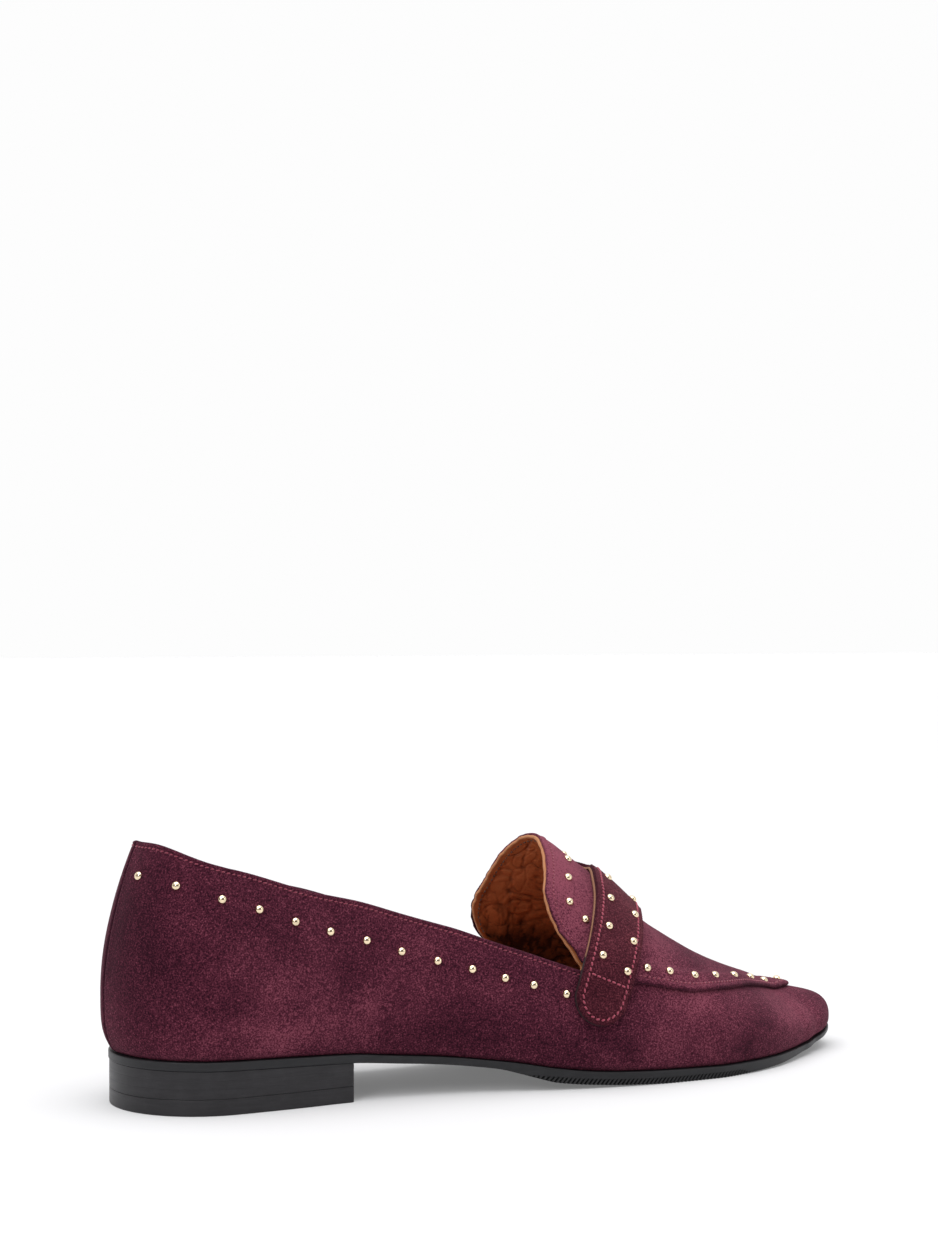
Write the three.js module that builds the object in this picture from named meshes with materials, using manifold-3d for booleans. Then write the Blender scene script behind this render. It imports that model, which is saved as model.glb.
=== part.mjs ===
// Studded saddle-strap loafer for the right foot, in millimetres.
// Stations are measured along the shoe from the back of the heel: +X runs to the toe, +Y to the
// medial side (the other foot), +Z up. The floor is z = 0. The origin is the middle of the rest face
// of the heel's top piece.
import * as THREE from "three";
import Module from "manifold-3d";
import { mergeVertices } from "three/addons/utils/BufferGeometryUtils.js";

const wasm = await Module();
wasm.setup();

// ---------------------------------------------------------------- driving dimensions
const GAP = 0.3; // clearance between neighbouring pieces
const REST_STATION = 34; // station of the middle of the heel's rest face
const HEEL_CORE = 29.5; // station of the centre of the round heel
const TOE_CORE = 238; // station of the centre of the round toe
const TOE_SWING = 4.5; // the toe's centre lies this far to the medial side
const HEEL_FAN = (HEEL_CORE * Math.PI) / 2; // length of the last's path round half the heel
const TOE_FAN = 12 * Math.PI; // length of the last's path round half the toe
const BACK = HEEL_CORE - HEEL_FAN; // path place of the back seam
const TIP = TOE_CORE + TOE_FAN; // path place of the toe's tip
const TOE_DROOP = 0.22; // slope of the top of the toe ahead of its centre

const SUEDE = 1.2; // thickness of the suede
const LINING = 0.9; // thickness of the lining leather
const BACKING = 0.8; // thickness of the leather under the strap
const COUNTER = 1.0; // thickness of the heel counter
const PUFF = 0.8; // thickness of the toe puff
const TAPE = 0.5; // thickness of the tape that holds the topline studs
const SOLE_MARGIN = 1.2; // the sole stands this far outside the feather line
const HEEL_BREAST = 68.8; // station of the front face of the heel
const HEEL_MARGIN = 0.9; // the heel stands this far outside the feather line
const TOP_PIECE = 5; // height of the heel's top piece
const LASTING_MARGIN = 12; // width of the suede turned in under the insole
const BOARD = 1.8; // thickness of the insole board
const SOCK = 1.4; // thickness of the sock liner
const THROAT = 143.5; // station where the tongue meets the topline
const LINING_SEAM = 118; // station of the seam between vamp lining and quarter linings
const COUNTER_END = 70; // station where the counter ends
const PUFF_START = 224; // station where the toe puff starts
const LAP = 3; // the apron laps this far over the wall
const LAP_FLAT = 6.6; // width of the apron's raised rim, which carries the studs
const LAP_RISE = SUEDE + GAP; // the apron's edge stands this far above the wall

const STUD_RADIUS = 1.45;
const STUD_HEIGHT = 1.25;
const SHANK_RADIUS = 0.5;
const HOLE_RADIUS = 0.8;
const STUD_FACETS = 6;

/** Smooth curve through [x, y] points that never overshoots them. */
function curve(...points) {
  const steps = points.slice(1).map((p, i) => (p[1] - points[i][1]) / (p[0] - points[i][0]));
  const slopes = points.map((p, i) => {
    if (i === 0 || i === points.length - 1 || steps[i - 1] * steps[i] <= 0) return 0;
    const before = p[0] - points[i - 1][0];
    const after = points[i + 1][0] - p[0];
    const a = 2 * after + before;
    const b = after + 2 * before;
    return (a + b) / (a / steps[i - 1] + b / steps[i]);
  });
  return (x) => {
    const at = Math.min(Math.max(x, points[0][0]), points[points.length - 1][0]);
    let i = 0;
    while (i < points.length - 2 && at > points[i + 1][0]) i += 1;
    const [[x0, y0], [x1, y1]] = [points[i], points[i + 1]];
    const h = x1 - x0;
    const t = (at - x0) / h;
    const blend = t * t * (3 - 2 * t);
    return (
      y0 + blend * (y1 - y0) + h * t * (1 - t) * ((1 - t) * slopes[i] - t * slopes[i + 1])
    );
  };
}

// Half-width of the feather line (where the upper meets the sole) from the shoe's middle path.
const FEATHER_WIDTH = {
  lateral: curve(
    [BACK, 28.6], [30, 28.8], [50, 28.2], [69, 26.9], [84, 27.4], [100, 29.4], [118, 33.6],
    [135, 38.4], [155, 42.8], [175, 45.4], [190, 45.8], [204, 43.6], [218, 38.8], [230, 32],
    [TOE_CORE, 26.6], [247.6, 21.9], [257, 21.6], [TIP, 23.2],
  ),
  medial: curve(
    [BACK, 28.6], [30, 28.8], [50, 27.6], [69, 24], [90, 21.2], [105, 21.6], [125, 25.2],
    [145, 30.5], [165, 34.6], [182, 36.2], [198, 34.2], [214, 29.6], [230, 23.2],
    [TOE_CORE, 19.8], [247.6, 18.4], [257, 19.4], [TIP, 23.2],
  ),
};
// Height of the feather line over the station.
const FEATHER_HEIGHT = curve(
  [0, 16.4], [24, 16.1], [43, 15.7], [69, 14.7], [84, 13.3], [97, 12.2], [110, 10.7],
  [122, 9.05], [134, 6.9], [148, 5.2], [161, 4.5], [176, 4.15], [200, 3.75], [215, 3.75],
  [234, 4.1], [241, 4.5], [252, 6], [262, 7.3],
);
// Height of the outsole's walking face over the station. Behind the breast it meets the heel.
const TREAD_HEIGHT = curve(
  [0, 13.7], [24, 13.4], [43, 13], [69, 12.1], [84, 10.85], [97, 9.8], [110, 8.3], [116, 7.4],
  [122, 5.8], [128, 4], [134, 2.4], [148, 1], [161, 0.3], [174, 0], [192, 0], [209, 0.35],
  [220, 0.75], [234, 1.9], [241, 2.6], [252, 4.4], [262, 5.9],
);
// The widest line: how far it stands outside and above the feather line.
const BULGE = curve(
  [BACK, 3.6], [30, 2.4], [69, 2.6], [100, 3], [135, 2.4], [175, 1.4], [215, 1.6],
  [TOE_CORE, 1.9], [TIP, 1.4],
);
const BULGE_HEIGHT = curve(
  [BACK, 18], [30, 15.3], [69, 15.7], [100, 14.1], [118, 11.6], [135, 10.2], [150, 9.2],
  [175, 8.6], [215, 7.6],
  [TOE_CORE, 5.6], [TIP, 3.8],
);
// How quickly the wall swells out above the feather line.
const SWELL = curve([30, 4], [100, 2], [228, 2], [246, 3.5]);
// Height of the crest. Behind the tongue it is the crest of the last, which the topline cuts off.
const CREST = curve(
  [BACK, 106], [30, 100], [69, 101], [100, 95.8], [120, 89.2], [136, 83.2], [143.5, 79.8],
  [150, 76.2], [156, 71.8], [166, 64.5], [184, 48.6], [190, 44.7], [196, 41.1], [202, 37.6],
  [213, 32], [227, 25.9], [TOE_CORE, 22.5], [TIP, 22.6],
);
// Fullness of the arch between the widest line and the crest.
const SHOULDER = curve([BACK, 0.44], [143, 0.44], [180, 0.47], [215, 0.5], [TOE_CORE, 0.38], [TIP, 0.76]);
const CROWN = curve([BACK, 0.44], [143, 0.44], [180, 0.47], [215, 0.52], [TOE_CORE, 0.38], [TIP, 0.68]);
// Upper edge of the wall: topline behind the throat, apron seam ahead of it. A level counts 0 at
// the feather line, 1 at the widest line and 2 at the crest.
const WALL_FRONT = [
  [130, 1.262], [150, 1.25], [162, 1.25], [178, 1.277], [198, 1.377], [216, 1.53],
  [TOE_CORE, 1.71], [TIP, 1.775],
];
const WALL_LEVEL = {
  lateral: curve(
    [BACK, 1.493], [0, 1.503], [25, 1.473], [60, 1.356], [95, 1.29], ...WALL_FRONT,
  ),
  medial: curve(
    [BACK, 1.493], [0, 1.498], [25, 1.465], [60, 1.352], [95, 1.285], ...WALL_FRONT,
  ),
};
// Path places of the studs below the topline, and how far they sit below it, in levels.
const FORE_STUDS = [26, 38, 49.5, 61, 73, 84.4, 96, 107, 117.4, 126.5, 137];
const TOPLINE_STUDS = { lateral: [-7, 9.6, ...FORE_STUDS], medial: [1.5, 13.5, ...FORE_STUDS] };
const STUD_BELOW_TOPLINE = curve([0, 0.115], [60, 0.119], [90, 0.125], [140, 0.102]);
// Path places of the studs along the apron's edge, and how far they sit above it, in levels.
const APRON_STUDS = [166.4, 175.3, 186, 196, 207.6, 220, 232];
const STUD_ABOVE_SEAM = curve([166, 0.07], [178, 0.086], [232, 0.1]);
// How much of the apron's raise settles inside its rim: all of it behind, none of it at the tip.
const APRON_SETTLES = curve([200, 1], [230, 0]);
// Rear edge of the tongue: its station over the share of the way from the throat to the crest.
const TONGUE_EDGE = {
  lateral: curve(
    [0, THROAT], [0.05, 142.6], [0.11, 140.2], [0.17, 137.6], [0.25, 136.4], [0.35, 136.8],
    [0.47, 139.2], [0.64, 142.4], [0.84, 144.7], [1, 146],
  ),
  medial: curve(
    [0, THROAT], [0.04, 139], [0.09, 135.6], [0.17, 133.6], [0.24, 134.2], [0.36, 136.7],
    [0.58, 140.4], [0.8, 143.9], [1, 146],
  ),
};
// The strap: its middle station, half its width and its rise above the last, over the level.
const STRAP_END = 1.065;
const STRAP_ROUNDING = 0.1;
const STRAP_MIDDLE = curve(
  [STRAP_END, 146.6], [1.13, 147.6], [1.2, 149.4], [1.27, 151.8], [1.38, 156.1], [1.46, 159],
  [1.56, 162.3], [1.72, 167], [1.86, 171.4], [2, 175.2],
);
const STRAP_HALF = curve([STRAP_END, 8.6], [1.3, 8.6], [1.46, 8.4], [1.6, 8.2], [1.75, 8.6], [2, 9.8]);
const STRAP_RISE = curve(
  [STRAP_END, 0.35], [1.16, 0.5], [1.21, 1.7], [1.3, 1.95], [1.38, 1.5], [1.6, 0.7], [2, 0.5],
);

// ---------------------------------------------------------------- the last
const SIDES = { lateral: -1, medial: 1 };
const MIDDLE_PATH = curve([110, 0], [TOE_CORE, TOE_SWING]);

/** Middle of the last at a path place, and the level direction in which its section runs out. */
function section(side, path) {
  const station = Math.min(Math.max(path, HEEL_CORE), TOE_CORE);
  const heelTurn = ((Math.max(HEEL_CORE - path, 0) / HEEL_FAN) * Math.PI) / 2;
  const toeTurn = ((Math.max(path - TOE_CORE, 0) / TOE_FAN) * Math.PI) / 2;
  return {
    middle: new THREE.Vector3(station, MIDDLE_PATH(station), 0),
    out: new THREE.Vector3(
      Math.sin(toeTurn) - Math.sin(heelTurn),
      SIDES[side] * Math.cos(heelTurn) * Math.cos(toeTurn),
      0,
    ),
    toeTurn,
  };
}

/** Point of a flat layer, some way inside (or outside) the feather line and above it. */
function planPoint(side, path, share, margin, height) {
  const { middle, out } = section(side, path);
  const radius = (FEATHER_WIDTH[side](path) + margin) * share;
  const point = middle.addScaledVector(out, radius);
  point.z = typeof height === "function" ? height(point.x) : height;
  return point;
}

/** Point of the last's skin. Levels below 0 lie on the margin turned in under the insole. */
function lastPoint(side, path, level) {
  const { middle, out, toeTurn } = section(side, path);
  const feather = FEATHER_WIDTH[side](path);
  if (level < 0) return planPoint(side, path, 1, level * LASTING_MARGIN, FEATHER_HEIGHT);
  const foot = FEATHER_HEIGHT(middle.x + out.x * feather);
  const bulge = BULGE(path);
  const widest = feather + bulge;
  const waist = foot + BULGE_HEIGHT(path);
  if (level <= 1) {
    const point = middle.addScaledVector(out, feather + bulge * (1 - (1 - level) ** SWELL(path)));
    point.z = foot + BULGE_HEIGHT(path) * level;
    return point;
  }
  const t = level - 1;
  const rise = CREST(path) - waist;
  const low = (1 - t) ** 3 + 3 * (1 - t) ** 2 * t;
  const radius = widest * (low + 3 * (1 - t) * t * t * CROWN(path));
  const point = middle.addScaledVector(out, radius);
  const arch = 3 * (1 - t) ** 2 * t * SHOULDER(path) + 3 * (1 - t) * t * t + t ** 3;
  const droop = TOE_DROOP * radius * Math.sin(toeTurn) * (1 - (radius / widest) ** 2);
  point.z = waist + rise * arch - droop;
  return point;
}

/** Outward unit normal of one side's skin. */
function sideNormal(side, path, level) {
  const e = 0.01;
  const along = lastPoint(side, Math.min(path + e, TIP), level);
  along.sub(lastPoint(side, Math.max(path - e, BACK), level));
  const up = lastPoint(side, path, level + e).sub(lastPoint(side, path, level - e));
  return along.cross(up).multiplyScalar(-SIDES[side]).normalize();
}

/** Outward unit normal, the same from both sides where they meet at the crest, back and tip. */
function lastNormal(side, path, level) {
  const shy = 0.02;
  const low = Math.max(Math.min(level, 2 - shy), shy);
  const turn = level > 2 - shy && path > TOE_CORE ? TOE_CORE : path;
  if (level < 2 - shy && path > BACK + shy && path < TIP - shy) return sideNormal(side, turn, low);
  return sideNormal("lateral", turn, low).add(sideNormal("medial", turn, low)).normalize();
}

/** Point a given depth under the last's skin (a negative depth is above it). */
function skinPoint({ side, path, level }, depth) {
  if (level <= 0) {
    const point = planPoint(side, path, 1, level < 0 ? level * LASTING_MARGIN : -depth, 0);
    point.z = FEATHER_HEIGHT(point.x) + depth;
    return point;
  }
  return lastPoint(side, path, level).addScaledVector(lastNormal(side, path, level), -depth);
}

/** Change of level that moves a given distance over the skin. */
function levelStep(side, path, level, distance) {
  const e = 0.01;
  return (distance * e) / lastPoint(side, path, level + e).distanceTo(lastPoint(side, path, level));
}

// ---------------------------------------------------------------- solids
/** Closed solid between two faces laid over the same patches of places. */
function solidBetween(patches, faceA, faceB) {
  const top = [];
  const bottom = [];
  const known = new Map();
  const place = (spot) => {
    const point = faceA(spot);
    const key = point.toArray().map((n) => Math.round(n * 500)).join();
    if (!known.has(key)) {
      known.set(key, top.length);
      top.push(point);
      bottom.push(faceB(spot));
    }
    return known.get(key);
  };
  const skin = [];
  const corner = (a, b, c) => {
    if (a !== b && b !== c && c !== a) skin.push([a, b, c]);
  };
  for (const patch of patches) {
    const numbered = patch.map((column) => column.map(place));
    for (let i = 0; i + 1 < numbered.length; i += 1) {
      for (let j = 0; j + 1 < numbered[i].length; j += 1) {
        const [a, b] = [numbered[i][j], numbered[i][j + 1]];
        const [d, c] = [numbered[i + 1][j], numbered[i + 1][j + 1]];
        if (top[a].distanceTo(top[c]) <= top[b].distanceTo(top[d])) {
          corner(a, b, c);
          corner(a, c, d);
        } else {
          corner(a, b, d);
          corner(b, c, d);
        }
      }
    }
  }
  const count = top.length;
  const faces = [];
  const edges = new Map();
  for (const [a, b, c] of skin) {
    faces.push([a, b, c], [a + count, c + count, b + count]);
    for (const [p, q] of [[a, b], [b, c], [c, a]]) edges.set(`${p},${q}`, [p, q]);
  }
  for (const [p, q] of edges.values()) {
    if (edges.has(`${q},${p}`)) continue;
    faces.push([q, p, p + count], [q, p + count, q + count]);
  }
  return closedGeometry([...top, ...bottom], faces);
}

/** Geometry from points and faces, turned so that its faces look outward. */
function closedGeometry(points, faces) {
  const volume = faces.reduce((sum, [a, b, c]) => {
    return sum + points[a].dot(new THREE.Vector3().crossVectors(points[b], points[c]));
  }, 0);
  const order = volume < 0 ? faces.map(([a, b, c]) => [a, c, b]) : faces;
  const geometry = new THREE.BufferGeometry().setFromPoints(points);
  geometry.setIndex(order.flat());
  return geometry;
}

function toManifold(geometry) {
  const bare = geometry.clone();
  bare.deleteAttribute("normal");
  bare.deleteAttribute("uv");
  const merged = mergeVertices(bare, 1e-4);
  return new wasm.Manifold(
    new wasm.Mesh({
      numProp: 3,
      vertProperties: merged.attributes.position.array,
      triVerts: new Uint32Array(merged.index.array),
    }),
  );
}

function fromManifold(solid) {
  const mesh = solid.getMesh();
  const geometry = new THREE.BufferGeometry();
  geometry.setAttribute("position", new THREE.BufferAttribute(mesh.vertProperties, 3));
  geometry.setIndex(new THREE.BufferAttribute(mesh.triVerts, 1));
  return geometry;
}

function joined(parts) {
  return fromManifold(wasm.Manifold.union(parts.map(toManifold)));
}

function cutAway(geometry, cutters) {
  return fromManifold(toManifold(geometry).subtract(wasm.Manifold.union(cutters.map(toManifold))));
}

// ---------------------------------------------------------------- patches of places
const HEEL_PLACES = [BACK, -7.5, 1.8, 11, 20.2, HEEL_CORE];
const MID_PLACES = [42, 56, 70, 84, 96, 107, 118];
const THROAT_PLACES = [130, THROAT];
const BEHIND_STRAP = 147.5;
const FORE_PLACES = [152, 162, 172, 182, 192, 202, 212, 221, 230, TOE_CORE];
const TOE_PLACES = [244.3, 250.6, 256.9, 263.2, 269.5, TIP];
const FRONT_PLACES = [...THROAT_PLACES, BEHIND_STRAP, ...FORE_PLACES, ...TOE_PLACES];
const ALL_PLACES = [...HEEL_PLACES, ...MID_PLACES, ...FRONT_PLACES];

const shares = (count) => Array.from({ length: count + 1 }, (_, i) => i / count);
const between = (low, high) => ALL_PLACES.filter((path) => path >= low && path <= high);

/** One side's patch: a column of levels for each path place. */
function sidePatch(side, paths, levels) {
  return paths.map((path) => levels(side, path).map((level) => ({ side, path, level })));
}

/** Patch that runs along the lateral side, round the tip and back along the medial side. */
function roundTip(paths, levels) {
  return [
    ...sidePatch("lateral", paths, levels),
    ...sidePatch("medial", paths.toReversed().slice(1), levels),
  ];
}

/** Patch that runs from the medial side round the back to the lateral side. */
function roundBack(paths, levels) {
  return [
    ...sidePatch("medial", paths.toReversed(), levels),
    ...sidePatch("lateral", paths.slice(1), levels),
  ];
}

/** Evenly spaced levels between two level rules. */
function levelRun(low, high, count) {
  return (side, path) => {
    const from = low(side, path);
    return shares(count).map((share) => from + share * (high(side, path) - from));
  };
}

/** Slab over the plan of the shoe between two heights. */
function slab(paths, margin, low, high, rows = 2) {
  const across = shares(rows);
  const patch = paths.map((path) => [
    ...across.toReversed().map((share) => ({ side: "lateral", path, share })),
    ...across.slice(1).map((share) => ({ side: "medial", path, share })),
  ]);
  const face = (height) => ({ side, path, share }) => {
    const rim = typeof margin === "function" ? margin(path) : margin;
    return planPoint(side, path, share, rim, height);
  };
  return solidBetween([patch], face(high), face(low));
}

const aboveFeather = (rise) => (station) => FEATHER_HEIGHT(station) + rise;

// ---------------------------------------------------------------- bottom
function outsoleGeometry() {
  return slab(ALL_PLACES, SOLE_MARGIN, TREAD_HEIGHT, aboveFeather(-GAP));
}

const HEEL_BLOCK_PLACES = [...HEEL_PLACES, 42, 56, HEEL_BREAST];

function heelBlockGeometry() {
  const top = (station) => TREAD_HEIGHT(station) - GAP;
  return slab(HEEL_BLOCK_PLACES, HEEL_MARGIN, TOP_PIECE + GAP, top);
}

function heelTopPieceGeometry() {
  return slab(HEEL_BLOCK_PLACES, HEEL_MARGIN, 0, TOP_PIECE, 1);
}

/** Depth of the outer face of the linings, which make room for tape, counter and toe puff. */
const LINING_DEPTH = curve(
  [COUNTER_END + 2, SUEDE + COUNTER + 2 * GAP], [COUNTER_END + 14, SUEDE + TAPE + 2 * GAP],
  [THROAT, SUEDE + TAPE + 2 * GAP], [THROAT + 12, SUEDE + GAP], [PUFF_START - 10, SUEDE + GAP],
  [PUFF_START - 2, SUEDE + PUFF + 2 * GAP], [TIP, SUEDE + PUFF + 2 * GAP],
);
const TOE_INSET = curve([240, 0], [TIP, 3]); // the insole ends this much shorter at the toe
const insoleMargin = (path) => -(LINING_DEPTH(path) + LINING + GAP + TOE_INSET(path));
const BOARD_FOOT = SUEDE + GAP;
const SOCK_FOOT = BOARD_FOOT + BOARD + GAP;

function insoleBoardGeometry() {
  return slab(ALL_PLACES, insoleMargin, aboveFeather(BOARD_FOOT), aboveFeather(BOARD_FOOT + BOARD), 1);
}

function sockLinerGeometry() {
  return slab(ALL_PLACES, insoleMargin, aboveFeather(SOCK_FOOT), aboveFeather(SOCK_FOOT + SOCK), 1);
}

function bottomFillerGeometry() {
  const margin = -LASTING_MARGIN - 2 * GAP;
  return slab(between(130, TIP), margin, aboveFeather(0), aboveFeather(SUEDE), 1);
}

/** Steel strip that bridges from the heel seat over the waist. */
function shankGeometry() {
  const [start, end, halfWidth] = [22, 124, 6];
  const stations = shares(8).map((share) => start + share * (end - start));
  const patch = stations.map((x) => [-halfWidth, halfWidth].map((y) => ({ x, y })));
  const face = (rise) => ({ x, y }) => new THREE.Vector3(x, y, FEATHER_HEIGHT(x) + rise);
  return solidBetween([patch], face(SUEDE), face(0));
}

// ---------------------------------------------------------------- uppers
const seamHalfGap = GAP * 0.6;
const openAtBack = (paths) => [BACK + seamHalfGap, ...paths.slice(1)];
const wallTop = (side, path) => WALL_LEVEL[side](path);

/** The wall's upper edge: the topline, and under the apron a strip that the apron laps over. */
function wallReach(side, path) {
  const top = WALL_LEVEL[side](path);
  return path <= THROAT ? top : top + levelStep(side, path, top, LAP);
}

const LOW_ROW = 0.12; // level of the lowest row that the layers share

/** Rows shared by every layer of the wall, from just above the feather line to the upper edge. */
function sharedLevels(side, path) {
  const above = wallTop(side, path) - 1;
  return [LOW_ROW, 0.4, 0.7, 1, 1 + above / 3, 1 + (above * 2) / 3, 1 + above];
}

function wallLevels(side, path) {
  return [-1, 0, ...sharedLevels(side, path), wallReach(side, path)];
}

function wallGeometry() {
  const solid = solidBetween(
    [roundTip(openAtBack(ALL_PLACES), wallLevels)],
    (spot) => skinPoint(spot, 0),
    (spot) => skinPoint(spot, SUEDE),
  );
  return cutAway(solid, [...toplineSpots("lateral"), ...toplineSpots("medial")].map(holeAt));
}

/** Levels of the apron from its edge up to the crest, with a row where its lap comes down. */
function apronLevels(side, path) {
  const edge = WALL_LEVEL[side](path);
  const flat = edge + levelStep(side, path, edge, LAP_FLAT);
  const settled = Math.min(edge + levelStep(side, path, edge, LAP_FLAT + 4), (flat + 2) / 2);
  return [edge, flat, settled, ...[1 / 3, 2 / 3, 1].map((share) => settled + share * (2 - settled))];
}

/** How far the apron's outer face stands above the last: high over the lap, flush further in. */
function apronRise({ side, path, level }) {
  const [, flat, settled] = apronLevels(side, path);
  const share = THREE.MathUtils.clamp((level - flat) / (settled - flat), 0, 1);
  return LAP_RISE * (1 - share * APRON_SETTLES(path));
}

/** Columns over both sides, from the tongue's rear edge to the tip. */
function apronPatch(levels) {
  const share = (side, path, level) => (level - wallTop(side, path)) / (2 - wallTop(side, path));
  const column = (pathOf) => {
    const half = (side) => levels(side, pathOf(side, 0)).map((guide, row) => {
      const w = share(side, pathOf(side, 0), guide);
      const path = pathOf(side, w);
      const level = row === 0 ? wallTop(side, path) : wallTop(side, path) + w * (2 - wallTop(side, path));
      return { side, path, level: Math.min(level, 2) };
    });
    return [...half("lateral"), ...half("medial").toReversed().slice(1)];
  };
  const edge = (side, w) => TONGUE_EDGE[side](w);
  const first = FORE_PLACES[0];
  const share2 = (BEHIND_STRAP - THROAT) / (first - THROAT);
  return [
    column(edge),
    column((side, w) => edge(side, w) + (first - edge(side, w)) * share2),
    ...[...FORE_PLACES, ...TOE_PLACES].map((path) => {
      const half = (side) => levels(side, path).map((level) => ({ side, path, level }));
      return [...half("lateral"), ...half("medial").toReversed().slice(1)];
    }),
  ];
}

function apronGeometry() {
  const solid = solidBetween(
    [apronPatch(apronLevels)],
    (spot) => skinPoint(spot, -apronRise(spot)),
    (spot) => skinPoint(spot, SUEDE - apronRise(spot)),
  );
  return cutAway(solid, [...apronStudSpots(), ...tongueStudSpots()].map(holeAt));
}

/** Place on the strap: from its rear edge (across = -1) to its front edge (+1) at a level. */
function strapPlace(side, across, level) {
  const rounding = Math.max(0, (STRAP_END + STRAP_ROUNDING - level) / STRAP_ROUNDING);
  const half = STRAP_HALF(level) * Math.sqrt(1 - 0.85 * rounding ** 2);
  return { side, path: STRAP_MIDDLE(level) + across * half, level };
}

function strapPatch() {
  const levels = [STRAP_END, 1.075, 1.1, 1.15, 1.21, 1.27, 1.34, 1.45, 1.58, 1.72, 1.86, 2];
  const row = (side) => (level) => [-1, -0.5, 0, 0.5, 1].map((x) => strapPlace(side, x, level));
  return [...levels.map(row("lateral")), ...levels.toReversed().slice(1).map(row("medial"))];
}

function strapLayer(rise, thickness) {
  return solidBetween(
    [strapPatch()],
    (spot) => skinPoint(spot, -STRAP_RISE(spot.level) - rise - thickness),
    (spot) => skinPoint(spot, -STRAP_RISE(spot.level) - rise),
  );
}

function strapSuedeGeometry() {
  return cutAway(strapLayer(BACKING + GAP, SUEDE), strapStudSpots().map(holeAt));
}

// ---------------------------------------------------------------- linings and stiffeners
// Lowest level of the linings and of the toe puff, which keep out of the toe's narrow edge.
const LINING_LOW = curve([90, LOW_ROW], [215, 0.2], [244, 0.2], [257, 1.02], [TIP, 1.28]);
const PUFF_LOW = curve([250, 0.2], [263, 1], [TIP, 1]);
const levelsFrom = (low) => (side, path) => {
  return [low(path), ...sharedLevels(side, path).map((level) => Math.max(level, low(path)))];
};
const liningLevels = levelsFrom(LINING_LOW);
const stiffenerLevels = (low) => (side, path) => levelsFrom(low)(side, path).slice(0, -2);
const liningOuter = (spot) => skinPoint(spot, LINING_DEPTH(spot.path));
const liningInner = (spot) => skinPoint(spot, LINING_DEPTH(spot.path) + LINING);

function vampLiningGeometry() {
  const paths = [LINING_SEAM, ...FRONT_PLACES];
  const patches = [roundTip(paths, liningLevels), apronPatch(apronLevels)];
  return solidBetween(patches, liningOuter, liningInner);
}

function quarterLiningGeometry(side) {
  const paths = [...openAtBack([...HEEL_PLACES, ...MID_PLACES]).slice(0, -1), LINING_SEAM - GAP];
  return solidBetween([sidePatch(side, paths, liningLevels)], liningOuter, liningInner);
}

function counterGeometry() {
  return solidBetween(
    [roundBack(between(BACK, COUNTER_END), stiffenerLevels(LINING_LOW))],
    (spot) => skinPoint(spot, SUEDE + GAP),
    (spot) => skinPoint(spot, SUEDE + GAP + COUNTER),
  );
}

function toePuffGeometry() {
  return solidBetween(
    [roundTip(between(PUFF_START, TIP), stiffenerLevels(PUFF_LOW))],
    (spot) => skinPoint(spot, SUEDE + GAP),
    (spot) => skinPoint(spot, SUEDE + GAP + PUFF),
  );
}

// ---------------------------------------------------------------- studs
/** Where a stud sits: point on the host's face, and the way it looks. */
function studSpot(spot, rise) {
  return {
    ...spot,
    point: skinPoint(spot, -rise),
    normal: lastNormal(spot.side, spot.path, spot.level),
  };
}

/** A row below the topline. */
function toplineSpots(side) {
  return TOPLINE_STUDS[side].map((path) => {
    const level = wallTop(side, path) - STUD_BELOW_TOPLINE(path);
    return studSpot({ side, path, level }, 0);
  });
}

/** The row along the apron's edge: seven on each side and one at the tip. */
function apronStudSpots() {
  const spot = (side, path) => {
    const level = wallTop(side, path) + STUD_ABOVE_SEAM(path);
    return studSpot({ side, path, level }, apronRise({ side, path, level }));
  };
  return [
    ...APRON_STUDS.map((path) => spot("lateral", path)),
    spot("lateral", TIP),
    ...APRON_STUDS.toReversed().map((path) => spot("medial", path)),
  ];
}

function tongueStudSpots() {
  const places = [[148.6, 1.453], [144.4, 1.506], [147.5, 1.632], [152.3, 1.79]];
  const spot = (side) => ([path, level]) => studSpot({ side, path, level }, 0);
  return [
    ...places.map(spot("lateral")),
    spot("lateral")([157.5, 2]),
    ...places.toReversed().map(spot("medial")),
  ];
}

/** Two rows of nine across the strap. */
function strapStudSpots() {
  const rows = [[-0.46, [1.307, 1.434, 1.593, 1.785]], [0.6, [1.27, 1.405, 1.572, 1.78]]];
  return rows.flatMap(([across, levels]) => {
    const spot = (side) => (level) => {
      const rise = STRAP_RISE(level) + BACKING + GAP + SUEDE;
      return studSpot(strapPlace(side, across, level), rise);
    };
    return [
      ...levels.map(spot("lateral")),
      spot("lateral")(2),
      ...levels.toReversed().map(spot("medial")),
    ];
  });
}

/** Turned shape standing on a stud's place: profile points are [radius, height above the face]. */
function turnedAt(spot, profile) {
  const geometry = new THREE.LatheGeometry(
    profile.map(([radius, height]) => new THREE.Vector2(radius, height)),
    STUD_FACETS,
  );
  const turn = new THREE.Quaternion().setFromUnitVectors(new THREE.Vector3(0, 1, 0), spot.normal);
  return geometry.applyQuaternion(turn).translate(...spot.point.toArray());
}

function studAt(spot, shankDepth = SUEDE) {
  return turnedAt(spot, [
    [0, -shankDepth], [SHANK_RADIUS, -shankDepth], [SHANK_RADIUS, GAP], [STUD_RADIUS, GAP],
    [STUD_RADIUS * 0.68, GAP + STUD_HEIGHT * 0.72], [0, GAP + STUD_HEIGHT],
  ]);
}

function holeAt(spot) {
  const reach = SUEDE * 1.6;
  return turnedAt(spot, [[0, -reach], [HOLE_RADIUS, -reach], [HOLE_RADIUS, reach], [0, reach]]);
}

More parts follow.
